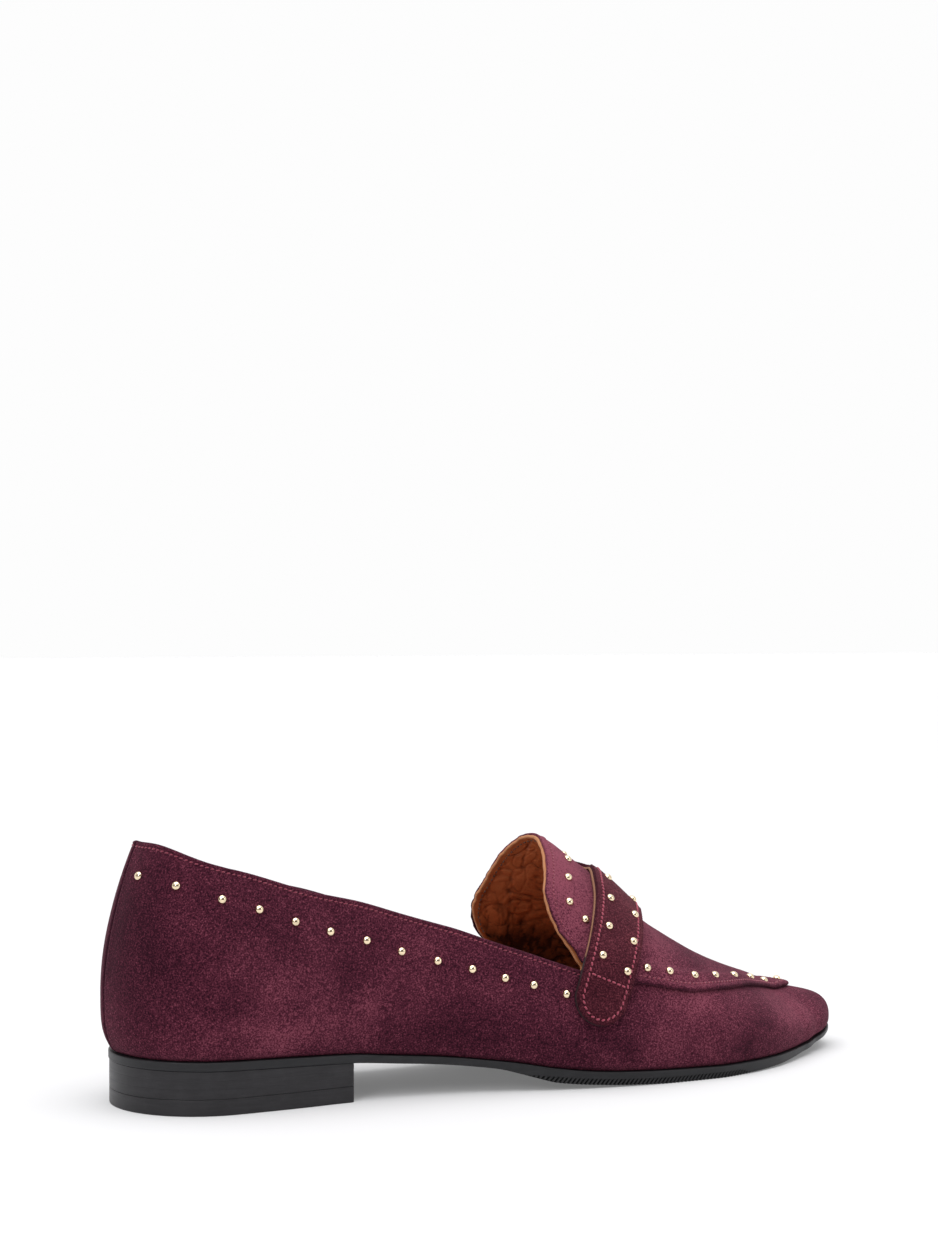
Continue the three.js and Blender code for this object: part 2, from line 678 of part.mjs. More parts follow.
/** Tape behind the wall with the topline studs clinched through it. */
function studdedTapeGeometry(side) {
  const paths = between(-10, LINING_SEAM).concat(128, 139.5);
  const low = (s, path) => wallTop(s, path) - STUD_BELOW_TOPLINE(path) - 0.05;
  const high = (s, path) => wallTop(s, path) - STUD_BELOW_TOPLINE(path) + 0.05;
  const tape = solidBetween(
    [sidePatch(side, paths, levelRun(low, high, 1))],
    (spot) => skinPoint(spot, SUEDE + GAP),
    (spot) => skinPoint(spot, SUEDE + GAP + TAPE),
  );
  const studs = toplineSpots(side).map((spot) => studAt(spot, SUEDE + GAP + TAPE));
  return joined([tape, ...studs]);
}

// ---------------------------------------------------------------- materials and assembly
const material = (color, roughness, metalness = 0) => {
  return () => new THREE.MeshStandardMaterial({ color, roughness, metalness });
};
const burgundySuede = material(0x5c2b3c, 0.95);
const strapSuede = material(0x50263a, 0.95);
const tanLeather = material(0x8f5226, 0.5);
const blackRubber = material(0x1d1c1e, 0.45);
const goldPlate = material(0xe3c48d, 0.22, 1);
const springSteel = material(0x9aa0a6, 0.35, 1);
const fibreBoard = material(0x9c8361, 0.9);
const cork = material(0xb58d5e, 0.9);
const stiffener = material(0xd9cfbd, 0.8);

const shoe = new THREE.Group();
shoe.name = "loafer_right";
shoe.position.x = -REST_STATION;

function add(name, geometry, makeMaterial) {
  const mesh = new THREE.Mesh(geometry, makeMaterial());
  mesh.name = name;
  shoe.add(mesh);
}

function addStuds(name, spots) {
  spots.forEach((spot, i) => {
    add(`${name}_${String(i + 1).padStart(2, "0")}`, studAt(spot), goldPlate);
  });
}

add("outsole", outsoleGeometry(), blackRubber);
add("heel_block", heelBlockGeometry(), blackRubber);
add("heel_top_piece", heelTopPieceGeometry(), blackRubber);
add("insole_board", insoleBoardGeometry(), fibreBoard);
add("sock_liner", sockLinerGeometry(), tanLeather);
add("shank", shankGeometry(), springSteel);
add("bottom_filler", bottomFillerGeometry(), cork);
add("heel_counter", counterGeometry(), stiffener);
add("toe_puff", toePuffGeometry(), stiffener);
add("vamp_lining", vampLiningGeometry(), tanLeather);
add("quarter_lining_lateral", quarterLiningGeometry("lateral"), tanLeather);
add("quarter_lining_medial", quarterLiningGeometry("medial"), tanLeather);
add("wall_suede", wallGeometry(), burgundySuede);
add("apron_suede", apronGeometry(), burgundySuede);
add("strap_backing", strapLayer(0, BACKING), tanLeather);
add("strap_suede", strapSuedeGeometry(), strapSuede);
add("topline_studs_lateral", studdedTapeGeometry("lateral"), goldPlate);
add("topline_studs_medial", studdedTapeGeometry("medial"), goldPlate);
addStuds("strap_stud", strapStudSpots());
addStuds("tongue_stud", tongueStudSpots());
addStuds("apron_stud", apronStudSpots());

const assembly = new THREE.Group();
assembly.add(shoe);
export default assembly;
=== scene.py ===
import math

import bpy
import numpy as np
from mathutils import Matrix, Vector
from mathutils.bvhtree import BVHTree


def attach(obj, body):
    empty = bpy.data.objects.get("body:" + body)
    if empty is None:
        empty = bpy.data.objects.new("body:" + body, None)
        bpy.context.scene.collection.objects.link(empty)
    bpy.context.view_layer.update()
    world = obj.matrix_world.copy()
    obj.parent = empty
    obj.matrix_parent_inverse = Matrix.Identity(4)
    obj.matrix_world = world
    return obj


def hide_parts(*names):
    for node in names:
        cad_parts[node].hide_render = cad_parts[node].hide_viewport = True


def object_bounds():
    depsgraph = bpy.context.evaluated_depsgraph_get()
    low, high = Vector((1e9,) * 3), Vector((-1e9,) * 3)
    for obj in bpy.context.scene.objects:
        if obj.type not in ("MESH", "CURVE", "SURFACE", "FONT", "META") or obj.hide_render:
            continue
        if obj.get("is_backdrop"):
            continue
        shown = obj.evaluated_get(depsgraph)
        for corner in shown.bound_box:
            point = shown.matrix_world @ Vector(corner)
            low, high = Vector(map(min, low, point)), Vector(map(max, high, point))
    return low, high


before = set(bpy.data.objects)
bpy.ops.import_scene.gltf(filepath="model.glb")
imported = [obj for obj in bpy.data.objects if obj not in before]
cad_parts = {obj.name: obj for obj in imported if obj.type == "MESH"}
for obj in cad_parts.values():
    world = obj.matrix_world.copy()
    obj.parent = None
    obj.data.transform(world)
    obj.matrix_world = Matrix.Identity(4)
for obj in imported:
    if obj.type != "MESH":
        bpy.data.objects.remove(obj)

CAD_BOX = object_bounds()
MM = 0.001

# ---------------- the last (all in millimetres)
# Stations run from the back of the heel to the toe, levels from the feather line (0) over the
# widest line (1) to the crest (2). Side -1 is lateral, +1 is medial.
REST_STATION = 34  # station of the frame's origin
HEEL_CORE = 29.5
TOE_CORE = 238
TOE_SWING = 4.5
HEEL_FAN = HEEL_CORE * math.pi / 2
TOE_FAN = 12 * math.pi
BACK = HEEL_CORE - HEEL_FAN
TIP = TOE_CORE + TOE_FAN
TOE_DROOP = 0.22
LASTING_MARGIN = 12
THROAT = 143.5
LINING_SEAM = 118
HEEL_BREAST = 68.8
LATERAL, MEDIAL = -1, 1


def curve(*points):
    """Smooth curve through (x, y) points that never overshoots them, for numbers or arrays."""
    xs, ys = np.array(points, float).T
    widths = np.diff(xs)
    steps = np.diff(ys) / widths
    slopes = np.zeros(len(xs))
    for i in range(1, len(xs) - 1):
        if steps[i - 1] * steps[i] > 0:
            a = 2 * widths[i] + widths[i - 1]
            b = widths[i] + 2 * widths[i - 1]
            slopes[i] = (a + b) / (a / steps[i - 1] + b / steps[i])

    def value(x):
        at = np.clip(x, xs[0], xs[-1])
        i = np.clip(np.searchsorted(xs, at, side="right") - 1, 0, len(widths) - 1)
        t = (at - xs[i]) / widths[i]
        blend = t * t * (3 - 2 * t)
        swing = widths[i] * t * (1 - t) * ((1 - t) * slopes[i] - t * slopes[i + 1])
        return ys[i] + blend * (ys[i + 1] - ys[i]) + swing

    return value


def two_sided(lateral, medial):
    """Curve that differs between the two sides."""
    return lambda side, x: np.where(np.asarray(side) < 0, lateral(x), medial(x))


FEATHER_WIDTH = two_sided(
    curve(
        (BACK, 28.6), (30, 28.8), (50, 28.2), (69, 26.9), (84, 27.4), (100, 29.4), (118, 33.6),
        (135, 38.4), (155, 42.8), (175, 45.4), (190, 45.8), (204, 43.6), (218, 38.8), (230, 32),
        (TOE_CORE, 26.6), (247.6, 21.9), (257, 21.6), (TIP, 23.2),
    ),
    curve(
        (BACK, 28.6), (30, 28.8), (50, 27.6), (69, 24), (90, 21.2), (105, 21.6), (125, 25.2),
        (145, 30.5), (165, 34.6), (182, 36.2), (198, 34.2), (214, 29.6), (230, 23.2),
        (TOE_CORE, 19.8), (247.6, 18.4), (257, 19.4), (TIP, 23.2),
    ),
)
FEATHER_HEIGHT = curve(
    (0, 16.4), (24, 16.1), (43, 15.7), (69, 14.7), (84, 13.3), (97, 12.2), (110, 10.7),
    (122, 9.05), (134, 6.9), (148, 5.2), (161, 4.5), (176, 4.15), (200, 3.75), (215, 3.75),
    (234, 4.1), (241, 4.5), (252, 6), (262, 7.3),
)
TREAD_HEIGHT = curve(
    (0, 13.7), (24, 13.4), (43, 13), (69, 12.1), (84, 10.85), (97, 9.8), (110, 8.3), (116, 7.4),
    (122, 5.8), (128, 4), (134, 2.4), (148, 1), (161, 0.3), (174, 0), (192, 0), (209, 0.35),
    (220, 0.75), (234, 1.9), (241, 2.6), (252, 4.4), (262, 5.9),
)
BULGE = curve(
    (BACK, 3.6), (30, 2.4), (69, 2.6), (100, 3), (135, 2.4), (175, 1.4), (215, 1.6),
    (TOE_CORE, 1.9), (TIP, 1.4),
)
BULGE_HEIGHT = curve(
    (BACK, 18), (30, 15.3), (69, 15.7), (100, 14.1), (118, 11.6), (135, 10.2), (150, 9.2),
    (175, 8.6), (215, 7.6),
    (TOE_CORE, 5.6), (TIP, 3.8),
)
SWELL = curve((30, 4), (100, 2), (228, 2), (246, 3.5))
CREST = curve(
    (BACK, 106), (30, 100), (69, 101), (100, 95.8), (120, 89.2), (136, 83.2), (143.5, 79.8),
    (150, 76.2), (156, 71.8), (166, 64.5), (184, 48.6), (190, 44.7), (196, 41.1), (202, 37.6),
    (213, 32), (227, 25.9), (TOE_CORE, 22.5), (TIP, 22.6),
)
SHOULDER = curve(
    (BACK, 0.44), (143, 0.44), (180, 0.47), (215, 0.5), (TOE_CORE, 0.38), (TIP, 0.76)
)
CROWN = curve(
    (BACK, 0.44), (143, 0.44), (180, 0.47), (215, 0.52), (TOE_CORE, 0.38), (TIP, 0.68)
)
WALL_FRONT = (
    (130, 1.262), (150, 1.25), (162, 1.25), (178, 1.277), (198, 1.377), (216, 1.53),
    (TOE_CORE, 1.71), (TIP, 1.775),
)
WALL_LEVEL = two_sided(
    curve((BACK, 1.493), (0, 1.503), (25, 1.473), (60, 1.356), (95, 1.29), *WALL_FRONT),
    curve((BACK, 1.493), (0, 1.498), (25, 1.465), (60, 1.352), (95, 1.285), *WALL_FRONT),
)
FORE_STUDS = (26, 38, 49.5, 61, 73, 84.4, 96, 107, 117.4, 126.5, 137)
TOPLINE_STUDS = {LATERAL: (-7, 9.6, *FORE_STUDS), MEDIAL: (1.5, 13.5, *FORE_STUDS)}
STUD_BELOW_TOPLINE = curve((0, 0.115), (60, 0.119), (90, 0.125), (140, 0.102))
APRON_STUDS = (166.4, 175.3, 186, 196, 207.6, 220, 232)
STUD_ABOVE_SEAM = curve((166, 0.07), (178, 0.086), (232, 0.1))
TONGUE_EDGE = two_sided(
    curve(
        (0, THROAT), (0.05, 142.6), (0.11, 140.2), (0.17, 137.6), (0.25, 136.4), (0.35, 136.8),
        (0.47, 139.2), (0.64, 142.4), (0.84, 144.7), (1, 146),
    ),
    curve(
        (0, THROAT), (0.04, 139), (0.09, 135.6), (0.17, 133.6), (0.24, 134.2), (0.36, 136.7),
        (0.58, 140.4), (0.8, 143.9), (1, 146),
    ),
)
APRON_SETTLES = curve((200, 1), (230, 0))
STRAP_END = 1.065
STRAP_ROUNDING = 0.1
STRAP_MIDDLE = curve(
    (STRAP_END, 146.6), (1.13, 147.6), (1.2, 149.4), (1.27, 151.8), (1.38, 156.1), (1.46, 159),
    (1.56, 162.3), (1.72, 167), (1.86, 171.4), (2, 175.2),
)
STRAP_HALF = curve((STRAP_END, 8.6), (1.3, 8.6), (1.46, 8.4), (1.6, 8.2), (1.75, 8.6), (2, 9.8))
STRAP_RISE = curve(
    (STRAP_END, 0.35), (1.16, 0.5), (1.21, 1.7), (1.3, 1.95), (1.38, 1.5), (1.6, 0.7), (2, 0.5)
)
MIDDLE_PATH = curve((110, 0), (TOE_CORE, TOE_SWING))


def stacked(*parts):
    return np.stack(np.broadcast_arrays(*parts), -1)


def arrays(*values):
    """Numbers or arrays as arrays of one shape."""
    return np.broadcast_arrays(*(np.asarray(value, float) for value in values))


def unit(vectors):
    return vectors / np.maximum(np.linalg.norm(vectors, axis=-1, keepdims=True), 1e-12)


def run_along(line):
    """Distance of each point of a line from its start."""
    return np.concatenate([[0], np.cumsum(np.linalg.norm(np.diff(line, axis=0), axis=1))])


def section(side, path):
    """Middle of the last at a path place, the level way out to the side, and the toe's turn."""
    station = np.clip(path, HEEL_CORE, TOE_CORE)
    heel_turn = np.maximum(HEEL_CORE - path, 0) / HEEL_FAN * math.pi / 2
    toe_turn = np.maximum(path - TOE_CORE, 0) / TOE_FAN * math.pi / 2
    middle = stacked(station, MIDDLE_PATH(station))
    out = stacked(np.sin(toe_turn) - np.sin(heel_turn), side * np.cos(heel_turn) * np.cos(toe_turn))
    return middle, out, toe_turn


def plan_point(side, path, share, margin, height):
    """Point of a flat layer; height is a function of the station, or a number."""
    middle, out, _ = section(side, path)
    radius = (FEATHER_WIDTH(side, path) + margin) * share
    plan = middle + out * radius[..., None]
    z = height(plan[..., 0]) if callable(height) else np.broadcast_to(height, radius.shape)
    return np.concatenate([plan, z[..., None]], -1)


def last_point(side, path, level):
    """Point of the last's skin. Levels below 0 lie on the margin turned in under the insole."""
    side, path, level = arrays(side, path, level)
    middle, out, toe_turn = section(side, path)
    feather, bulge = FEATHER_WIDTH(side, path), BULGE(path)
    foot = FEATHER_HEIGHT(middle[..., 0] + out[..., 0] * feather)
    widest, waist = feather + bulge, foot + BULGE_HEIGHT(path)
    low = np.clip(level, 0, 1)
    low_radius = feather + bulge * (1 - (1 - low) ** SWELL(path))
    low_height = foot + BULGE_HEIGHT(path) * low
    t = np.clip(level - 1, 0, 1)
    s = 1 - t
    radius = widest * (s**3 + 3 * s * s * t + 3 * s * t * t * CROWN(path))
    arch = 3 * s * s * t * SHOULDER(path) + 3 * s * t * t + t**3
    droop = TOE_DROOP * radius * np.sin(toe_turn) * (1 - (radius / widest) ** 2)
    height = waist + (CREST(path) - waist) * arch - droop
    radius = np.where(level <= 1, low_radius, radius)
    height = np.where(level <= 1, low_height, height)
    radius = np.where(level < 0, feather + level * LASTING_MARGIN, radius)
    plan = middle + out * radius[..., None]
    height = np.where(level < 0, FEATHER_HEIGHT(plan[..., 0]), height)
    return np.concatenate([plan, height[..., None]], -1)


def side_normal(side, path, level):
    e = 0.01
    along = last_point(side, np.minimum(path + e, TIP), level)
    along = along - last_point(side, np.maximum(path - e, BACK), level)
    up = last_point(side, path, level + e) - last_point(side, path, level - e)
    return unit(np.cross(along, up) * -np.asarray(side, float)[..., None])


def last_normal(side, path, level):
    """Outward unit normal, the same from both sides where they meet."""
    side, path, level = arrays(side, path, level)
    shy = 0.02
    low = np.clip(level, shy, 2 - shy)
    turn = np.where((level > 2 - shy) & (path > TOE_CORE), TOE_CORE, path)
    free = (level < 2 - shy) & (path > BACK + shy) & (path < TIP - shy)
    own, other = side_normal(side, turn, low), side_normal(-side, turn, low)
    return np.where(free[..., None], own, unit(own + other))


def skin_point(side, path, level, rise):
    """Point a given height above the last's skin; a negative height is under it."""
    side, path, level, rise = arrays(side, path, level, rise)
    above = last_point(side, path, level) + last_normal(side, path, level) * rise[..., None]
    margin = np.where(level < 0, level * LASTING_MARGIN, rise)
    flat = plan_point(side, path, np.ones_like(path), margin, FEATHER_HEIGHT)
    flat[..., 2] -= rise
    return np.where((level <= 0)[..., None], flat, above)


def level_step(side, path, level, distance):
    """Change of level that moves a given distance over the skin."""
    e = 0.01
    step = last_point(side, path, level + e) - last_point(side, path, level)
    return distance * e / np.linalg.norm(step, axis=-1)


def strap_place(across, level):
    """Path place on the strap: from its rear edge (across = -1) to its front edge (+1)."""
    rounding = np.maximum(0, (STRAP_END + STRAP_ROUNDING - level) / STRAP_ROUNDING)
    half = STRAP_HALF(level) * np.sqrt(np.maximum(1 - rounding**2, 0))
    return STRAP_MIDDLE(level) + across * half
# ---------------- end of the last


def ease(x):
    """0 to 1 with level ends."""
    t = np.clip(x, 0, 1)
    return t * t * (3 - 2 * t)


def bell(x, width):
    return np.exp(-((x / width) ** 2))


# ---------------- noise
def lattice(cells, seed):
    """Repeatable random numbers from -1 to 1 on whole-numbered cells."""
    x, y, z = (cells[..., i].astype(np.int64) for i in range(3))
    h = (x * 73856093) ^ (y * 19349663) ^ (z * 83492791) ^ (seed * 40503)
    h = ((h ^ (h >> 13)) * 1274126177) & 0xFFFFFFFF
    h = ((h ^ (h >> 16)) * 2246822519) & 0xFFFFFFFF
    return (h >> 8 & 0xFFFF) / 32767.5 - 1


def soft_noise(points, size, seed=0):
    """Smooth noise from -1 to 1 whose blobs are about a size across; size may differ by axis."""
    scaled = points / np.asarray(size, float) + 1000
    cell = np.floor(scaled)
    f = scaled - cell
    f = f * f * (3 - 2 * f)
    total = 0
    for corner in np.ndindex(2, 2, 2):
        weight = np.prod(np.where(corner, f, 1 - f), axis=-1)
        total = total + weight * lattice(cell + corner, seed)
    return total


def waves(points):
    """Slight unevenness that all layers of the upper share."""
    return 0.3 * soft_noise(points, 34, 1) + 0.1 * soft_noise(points, 12, 2)


def surface(side, path, level, rise):
    """Like skin_point, on the upper's slightly uneven surface."""
    base = last_point(side, path, level)
    return skin_point(side, path, level, rise + waves(base) * ease(np.asarray(level) / 0.5))


# ---------------- meshes
HOSTS = {}  # search trees of finished pieces, for what is sewn or set on them


def grid_faces(rows, columns, start):
    corner = np.arange(rows - 1)[:, None] * columns + np.arange(columns - 1) + start
    return np.stack([corner, corner + columns, corner + columns + 1, corner + 1], -1).reshape(-1, 4)


def twins(points):
    """The first point of each spot, and for every point the number of its spot."""
    _, first, same = np.unique(np.round(points, 3), axis=0, return_index=True, return_inverse=True)
    return first, same.reshape(-1)


def weld(points, quads):
    """Merges points that coincide and drops what collapses; returns points, faces and sources."""
    first, same = twins(points)
    quads = same[quads]
    twin = quads == np.roll(quads, -1, axis=1)
    crossed = (quads[:, 0] == quads[:, 2]) | (quads[:, 1] == quads[:, 3])
    whole = quads[(twin.sum(1) == 0) & ~crossed]
    single = (twin.sum(1) == 1) & ~crossed
    corners = quads[single][~twin[single]].reshape(-1, 3)
    return points[first], whole.tolist() + corners.tolist(), first


def outward(points, faces):
    """Faces turned so that they look out of the solid."""
    volume = 0
    for size in (3, 4):
        some = np.array([f for f in faces if len(f) == size])
        if len(some):
            for k in range(1, size - 1):
                a, b, c = points[some[:, 0]], points[some[:, k]], points[some[:, k + 1]]
                volume += np.einsum("ij,ij->i", a, np.cross(b, c)).sum()
    return faces if volume > 0 else [f[::-1] for f in faces]


def place_object(name, data):
    """A new object in the scene."""
    made = bpy.data.objects.new(name, data)
    bpy.context.scene.collection.objects.link(made)
    return made


def piece(name, points, faces, finish, slot, stands_for, marks):
    """Makes an object from points in millimetres on the last, and hooks it to the frame."""
    mesh = bpy.data.meshes.new(name)
    mesh.from_pydata(((points - (REST_STATION, 0, 0)) * MM).tolist(), [], faces)
    mesh.shade_smooth()
    for mark, values in marks.items():
        mesh.attributes.new(mark, "FLOAT", "POINT").data.foreach_set("value", values)
    mesh.materials.append(finish)
    made = place_object(name, mesh)
    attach(made, "root")
    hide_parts(*stands_for)
    return made


def flatten(marks):
    """Each mark's grids as one row of values."""
    return {mark: np.concatenate([np.ravel(v) for v in grids]) for mark, grids in marks.items()}


def body(name, points, quads, finish, slot, stands_for, marks):
    """A piece from closed quads, whose faces look outward and which others can be set on."""
    points, faces, source = weld(points, quads)
    faces = outward(points, faces)
    HOSTS[name] = BVHTree.FromPolygons(points.tolist(), faces)
    marks = {mark: values[source].astype(np.float32) for mark, values in marks.items()}
    return piece(name, points, faces, finish, slot, stands_for, marks)


def gather(grids):
    """Points and quads of several grids."""
    points = np.concatenate([g.reshape(-1, 3) for g in grids])
    starts = np.cumsum([0] + [g.shape[0] * g.shape[1] for g in grids])
    quads = [grid_faces(*g.shape[:2], start) for g, start in zip(grids, starts)]
    return points, np.concatenate(quads)


def solid(name, grids, finish, slot, stands_for=(), marks=None):
    """A closed body from grids of points that meet along their borders."""
    return body(name, *gather(grids), finish, slot, stands_for, flatten(marks or {}))


def sheet_solid(name, sheets, finish, slot, stands_for, marks):
    """A layer between pairs of grids, closed along its border. Marks are given for each pair."""
    (outer, quads), (inner, _) = (gather(faces) for faces in zip(*sheets))
    count = len(outer)
    _, same = twins(outer)
    edges = np.concatenate([quads[:, [k, (k + 1) % 4]] for k in range(4)])
    ends = same[edges]
    edges, ends = edges[ends[:, 0] != ends[:, 1]], ends[ends[:, 0] != ends[:, 1]]
    border = edges[~np.isin(ends[:, 0] * count + ends[:, 1], ends[:, 1] * count + ends[:, 0])]
    strips = np.stack([border[:, 1], border[:, 0], border[:, 0] + count, border[:, 1] + count], -1)
    flat = {mark: np.tile(values, 2) for mark, values in flatten(marks).items()}
    points = np.concatenate([outer, inner])
    quads = np.concatenate([quads, quads[:, ::-1] + count, strips])
    return body(name, points, quads, finish, slot, stands_for, flat)


def round_rim(rim, thickness, radius=None):
    """Half the thickness at a distance from a rim with rounded corners, or a wholly round one."""
    radius = radius or thickness / 2
    near = 1 - np.clip(rim / radius, 0, 1)
    return thickness / 2 - radius + radius * np.sqrt(1 - near**2)


def along(side, path, low, high, distances, count, samples=60):
    """Levels between two levels of one section: some at set distances below the upper one, and
    the rest evenly spaced. Distances are in millimetres, longest first."""
    levels = np.linspace(low, high, samples)
    line = last_point(side, path, levels)
    run = run_along(line)
    reach = np.minimum(distances, run[-1] * 0.8 * np.asarray(distances) / max(distances))
    ends = np.where(run[-1] * 0.8 > max(distances), distances, reach)
    places = np.concatenate([np.linspace(0, run[-1] - ends[0], count + 1)[:-1], run[-1] - ends])
    return np.interp(places, run, levels), run[-1] - places


def columns(sides, paths, low, high, steps, count):
    """Levels and rim distances along many sections, from low(path) up to high(side, path)."""
    pairs = [
        along(side, path, float(low(path)), float(high(side, path)), steps, count)
        for side, path in zip(sides, paths)
    ]
    return np.array(pairs).transpose(1, 0, 2)


# ---------------- finishes
def node(tree, kind, inputs=None, **settings):
    """Adds a shader node. Inputs are numbers, colours or other nodes' outputs."""
    made = tree.nodes.new("ShaderNode" + kind)
    for key, value in settings.items():
        setattr(made, key, value)
    for key, value in (inputs or {}).items():
        if isinstance(value, bpy.types.NodeSocket):
            tree.links.new(value, made.inputs[key])
        else:
            made.inputs[key].default_value = value
    return made


def calc(tree, operation, a, b=0.0, clamp=False):
    made = node(tree, "Math", {0: a, 1: b}, operation=operation, use_clamp=clamp)
    return made.outputs[0]


def ramp(tree, factor, stops):
    """Colour over a factor; stops are (place, (red, green, blue))."""
    made = node(tree, "ValToRGB", {"Fac": factor})
    elements = made.color_ramp.elements
    while len(elements) < len(stops):
        elements.new(0.5)
    for element, (place, colour) in zip(elements, stops):
        element.position = place
        element.color = (*colour, 1)
    return made.outputs["Color"]


def blend(tree, factor, a, b):
    made = node(tree, "Mix", data_type="RGBA")
    for index, value in ((0, factor), (6, a), (7, b)):
        if isinstance(value, bpy.types.NodeSocket):
            tree.links.new(value, made.inputs[index])
        else:
            made.inputs[index].default_value = value if index == 0 else (*value, 1)
    return made.outputs[2]


def mottle(tree, size, detail=2.0, roughness=0.5, stretch=(1, 1, 1)):
    """Noise from 0 to 1 whose blobs are about a size across, in millimetres."""
    place = node(tree, "TexCoord").outputs["Object"]
    place = node(tree, "Mapping", {"Vector": place, "Scale": stretch}).outputs[0]
    settings = {"Vector": place, "Scale": 1 / (size * MM), "Detail": detail, "Roughness": roughness}
    return node(tree, "TexNoise", settings).outputs[0]


def mark(tree, name):
    return node(tree, "Attribute", attribute_name=name).outputs["Fac"]


def centred(tree, value, strength):
    """A value from 0 to 1 as a push up or down of a given strength."""
    return calc(tree, "MULTIPLY", calc(tree, "SUBTRACT", value, 0.5), strength)


def pushed(tree, tone, value, strength, clamp=False):
    """A tone plus a value times a strength."""
    return calc(tree, "ADD", tone, calc(tree, "MULTIPLY", value, strength), clamp)


def layered(tree, tone, *layers):
    """A tone with noise added; each layer is (size, detail, roughness, strength)."""
    for size, detail, roughness, strength in layers:
        push = centred(tree, mottle(tree, size, detail, roughness), strength)
        tone = calc(tree, "ADD", tone, push)
    return tone


def bump(tree, height, distance, strength=1.0, below=None):
    inputs = {"Height": height, "Distance": distance * MM, "Strength": strength}
    if below is not None:
        inputs["Normal"] = below
    return node(tree, "Bump", inputs).outputs[0]


def finish(name, sockets):
    """A new material and its tree; sockets are the shader's own fixed values."""
    made = bpy.data.materials.new(name)
    made.use_nodes = True
    shader = made.node_tree.nodes["Principled BSDF"]
    for socket, value in sockets.items():
        shader.inputs[socket].default_value = value
    return made, made.node_tree, shader


def wire(tree, shader, **sources):
    names = {"colour": "Base Color", "roughness": "Roughness", "normal": "Normal"}
    for key, source in sources.items():
        tree.links.new(source, shader.inputs[names[key]])


def suede(name, dark, middle, light, glow):
    """Napped leather: cloudy patches where the pile lies differently, fine fibres, dark edges, and
    lighter and darker patches from a mark, which on the tongue and the apron are painted light.
    """
    made, tree, shader = finish(name, {
        "Roughness": 0.95, "Specular IOR Level": 0.05,
        "Sheen Weight": 0.1, "Sheen Roughness": 0.5, "Sheen Tint": (*glow, 1),
    })
    clouds = ((30, 2, 0.5, 0.42), (11, 3, 0.5, 0.42))
    fibres = ((1.5, 3, 0.75, 0.55), (0.5, 2, 0.7, 2.6))
    tone = layered(tree, 0.42, *clouds, *fibres)
    # Lighter and darker patches of the suede; on the tongue and the apron, painted light.
    tone = pushed(tree, tone, mark(tree, "nap_and_light"), 0.3)
    tone = pushed(tree, tone, mark(tree, "edge"), -0.36, True)
    colour = ramp(tree, tone, [(0.0, dark), (0.5, middle), (1.0, light)])
    pile = bump(tree, mottle(tree, 0.6, 3, 0.75), 0.3, 0.9)
    pile = bump(tree, mottle(tree, 2.4, 2, 0.6), 0.25, 0.35, pile)
    wire(tree, shader, colour=colour, normal=pile)
    return made


def grained_leather(name, dark, middle, light, edge_colour, gloss):
    """Smooth lining leather with fine pores; its cut edge is raw and lighter."""
    made, tree, shader = finish(name, {"Specular IOR Level": 0.4})
    tone = layered(tree, 0.56, (14, 3, 0.5, 0.55), (2.2, 4, 0.65, 0.5))
    # Painted shade: darker in the lining's folds, deep in the vamp, and on the strap backing's
    # lower part.
    tone = pushed(tree, tone, mark(tree, "folds_and_shade"), -0.27, True)
    colour = ramp(tree, tone, [(0.0, dark), (0.5, middle), (1.0, light)])
    fuzz = calc(tree, "ADD", mark(tree, "edge"), centred(tree, mottle(tree, 0.5, 2), 0.7))
    raw = calc(tree, "MULTIPLY", calc(tree, "SUBTRACT", fuzz, 0.3), 3.0, True)
    colour = blend(tree, raw, colour, edge_colour)
    roughness = pushed(tree, gloss, raw, 0.4)
    roughness = layered(tree, roughness, (3, 3, 0.5, 0.2))
    pores = bump(tree, mottle(tree, 0.5, 3, 0.6), 0.12, 0.5)
    wire(tree, shader, colour=colour, roughness=roughness, normal=pores)
    return made


def sole_rubber(name, colour, gloss):
    """Dark moulded rubber, with dust in its grain and faint level scuffs."""
    made, tree, shader = finish(name, {"Specular IOR Level": 0.3})
    scuffs = mottle(tree, 1.2, 4, 0.7, (0.08, 0.08, 1))
    dust = calc(tree, "POWER", mottle(tree, 6, 5, 0.7), 3.0)
    tone = pushed(tree, centred(tree, scuffs, 0.5), dust, 0.5, True)
    light = tuple(3.6 * c + 0.008 for c in colour)
    shade = ramp(tree, tone, [(0.0, colour), (1.0, light)])
    # Painted shade: the notches low in the sole's edge are darkened nearly to black.
    shade = blend(tree, mark(tree, "notch_shade"), shade, (0.001, 0.001, 0.0012))
    roughness = calc(tree, "ADD", gloss, centred(tree, scuffs, 0.25), True)
    grain = bump(tree, mottle(tree, 0.35, 2), 0.03, 0.5)
    grain = bump(tree, scuffs, 0.05, 0.5, grain)
    wire(tree, shader, colour=shade, roughness=roughness, normal=grain)
    return made


def metal(name, colour, gloss, variation):
    made, tree, shader = finish(name, {"Metallic": 1.0})
    darker = tuple(0.75 * c for c in colour)
    shade = ramp(tree, mottle(tree, 1.5, 3), [(0.3, darker), (0.6, colour)])
    roughness = calc(tree, "ADD", gloss, centred(tree, mottle(tree, 0.4, 3), variation), True)
    wire(tree, shader, colour=shade, roughness=roughness)
    return made


def thread(name, colour):
    """Twisted sewing thread."""
    made, tree, shader = finish(
        name, {"Roughness": 0.7, "Specular IOR Level": 0.3, "Sheen Weight": 0.3}
    )
    fibres = mottle(tree, 0.25, 2)
    darker = tuple(0.5 * c for c in colour)
    shade = ramp(tree, fibres, [(0.25, darker), (0.65, colour)])
    wire(tree, shader, colour=shade, normal=bump(tree, fibres, 0.08))
    return made


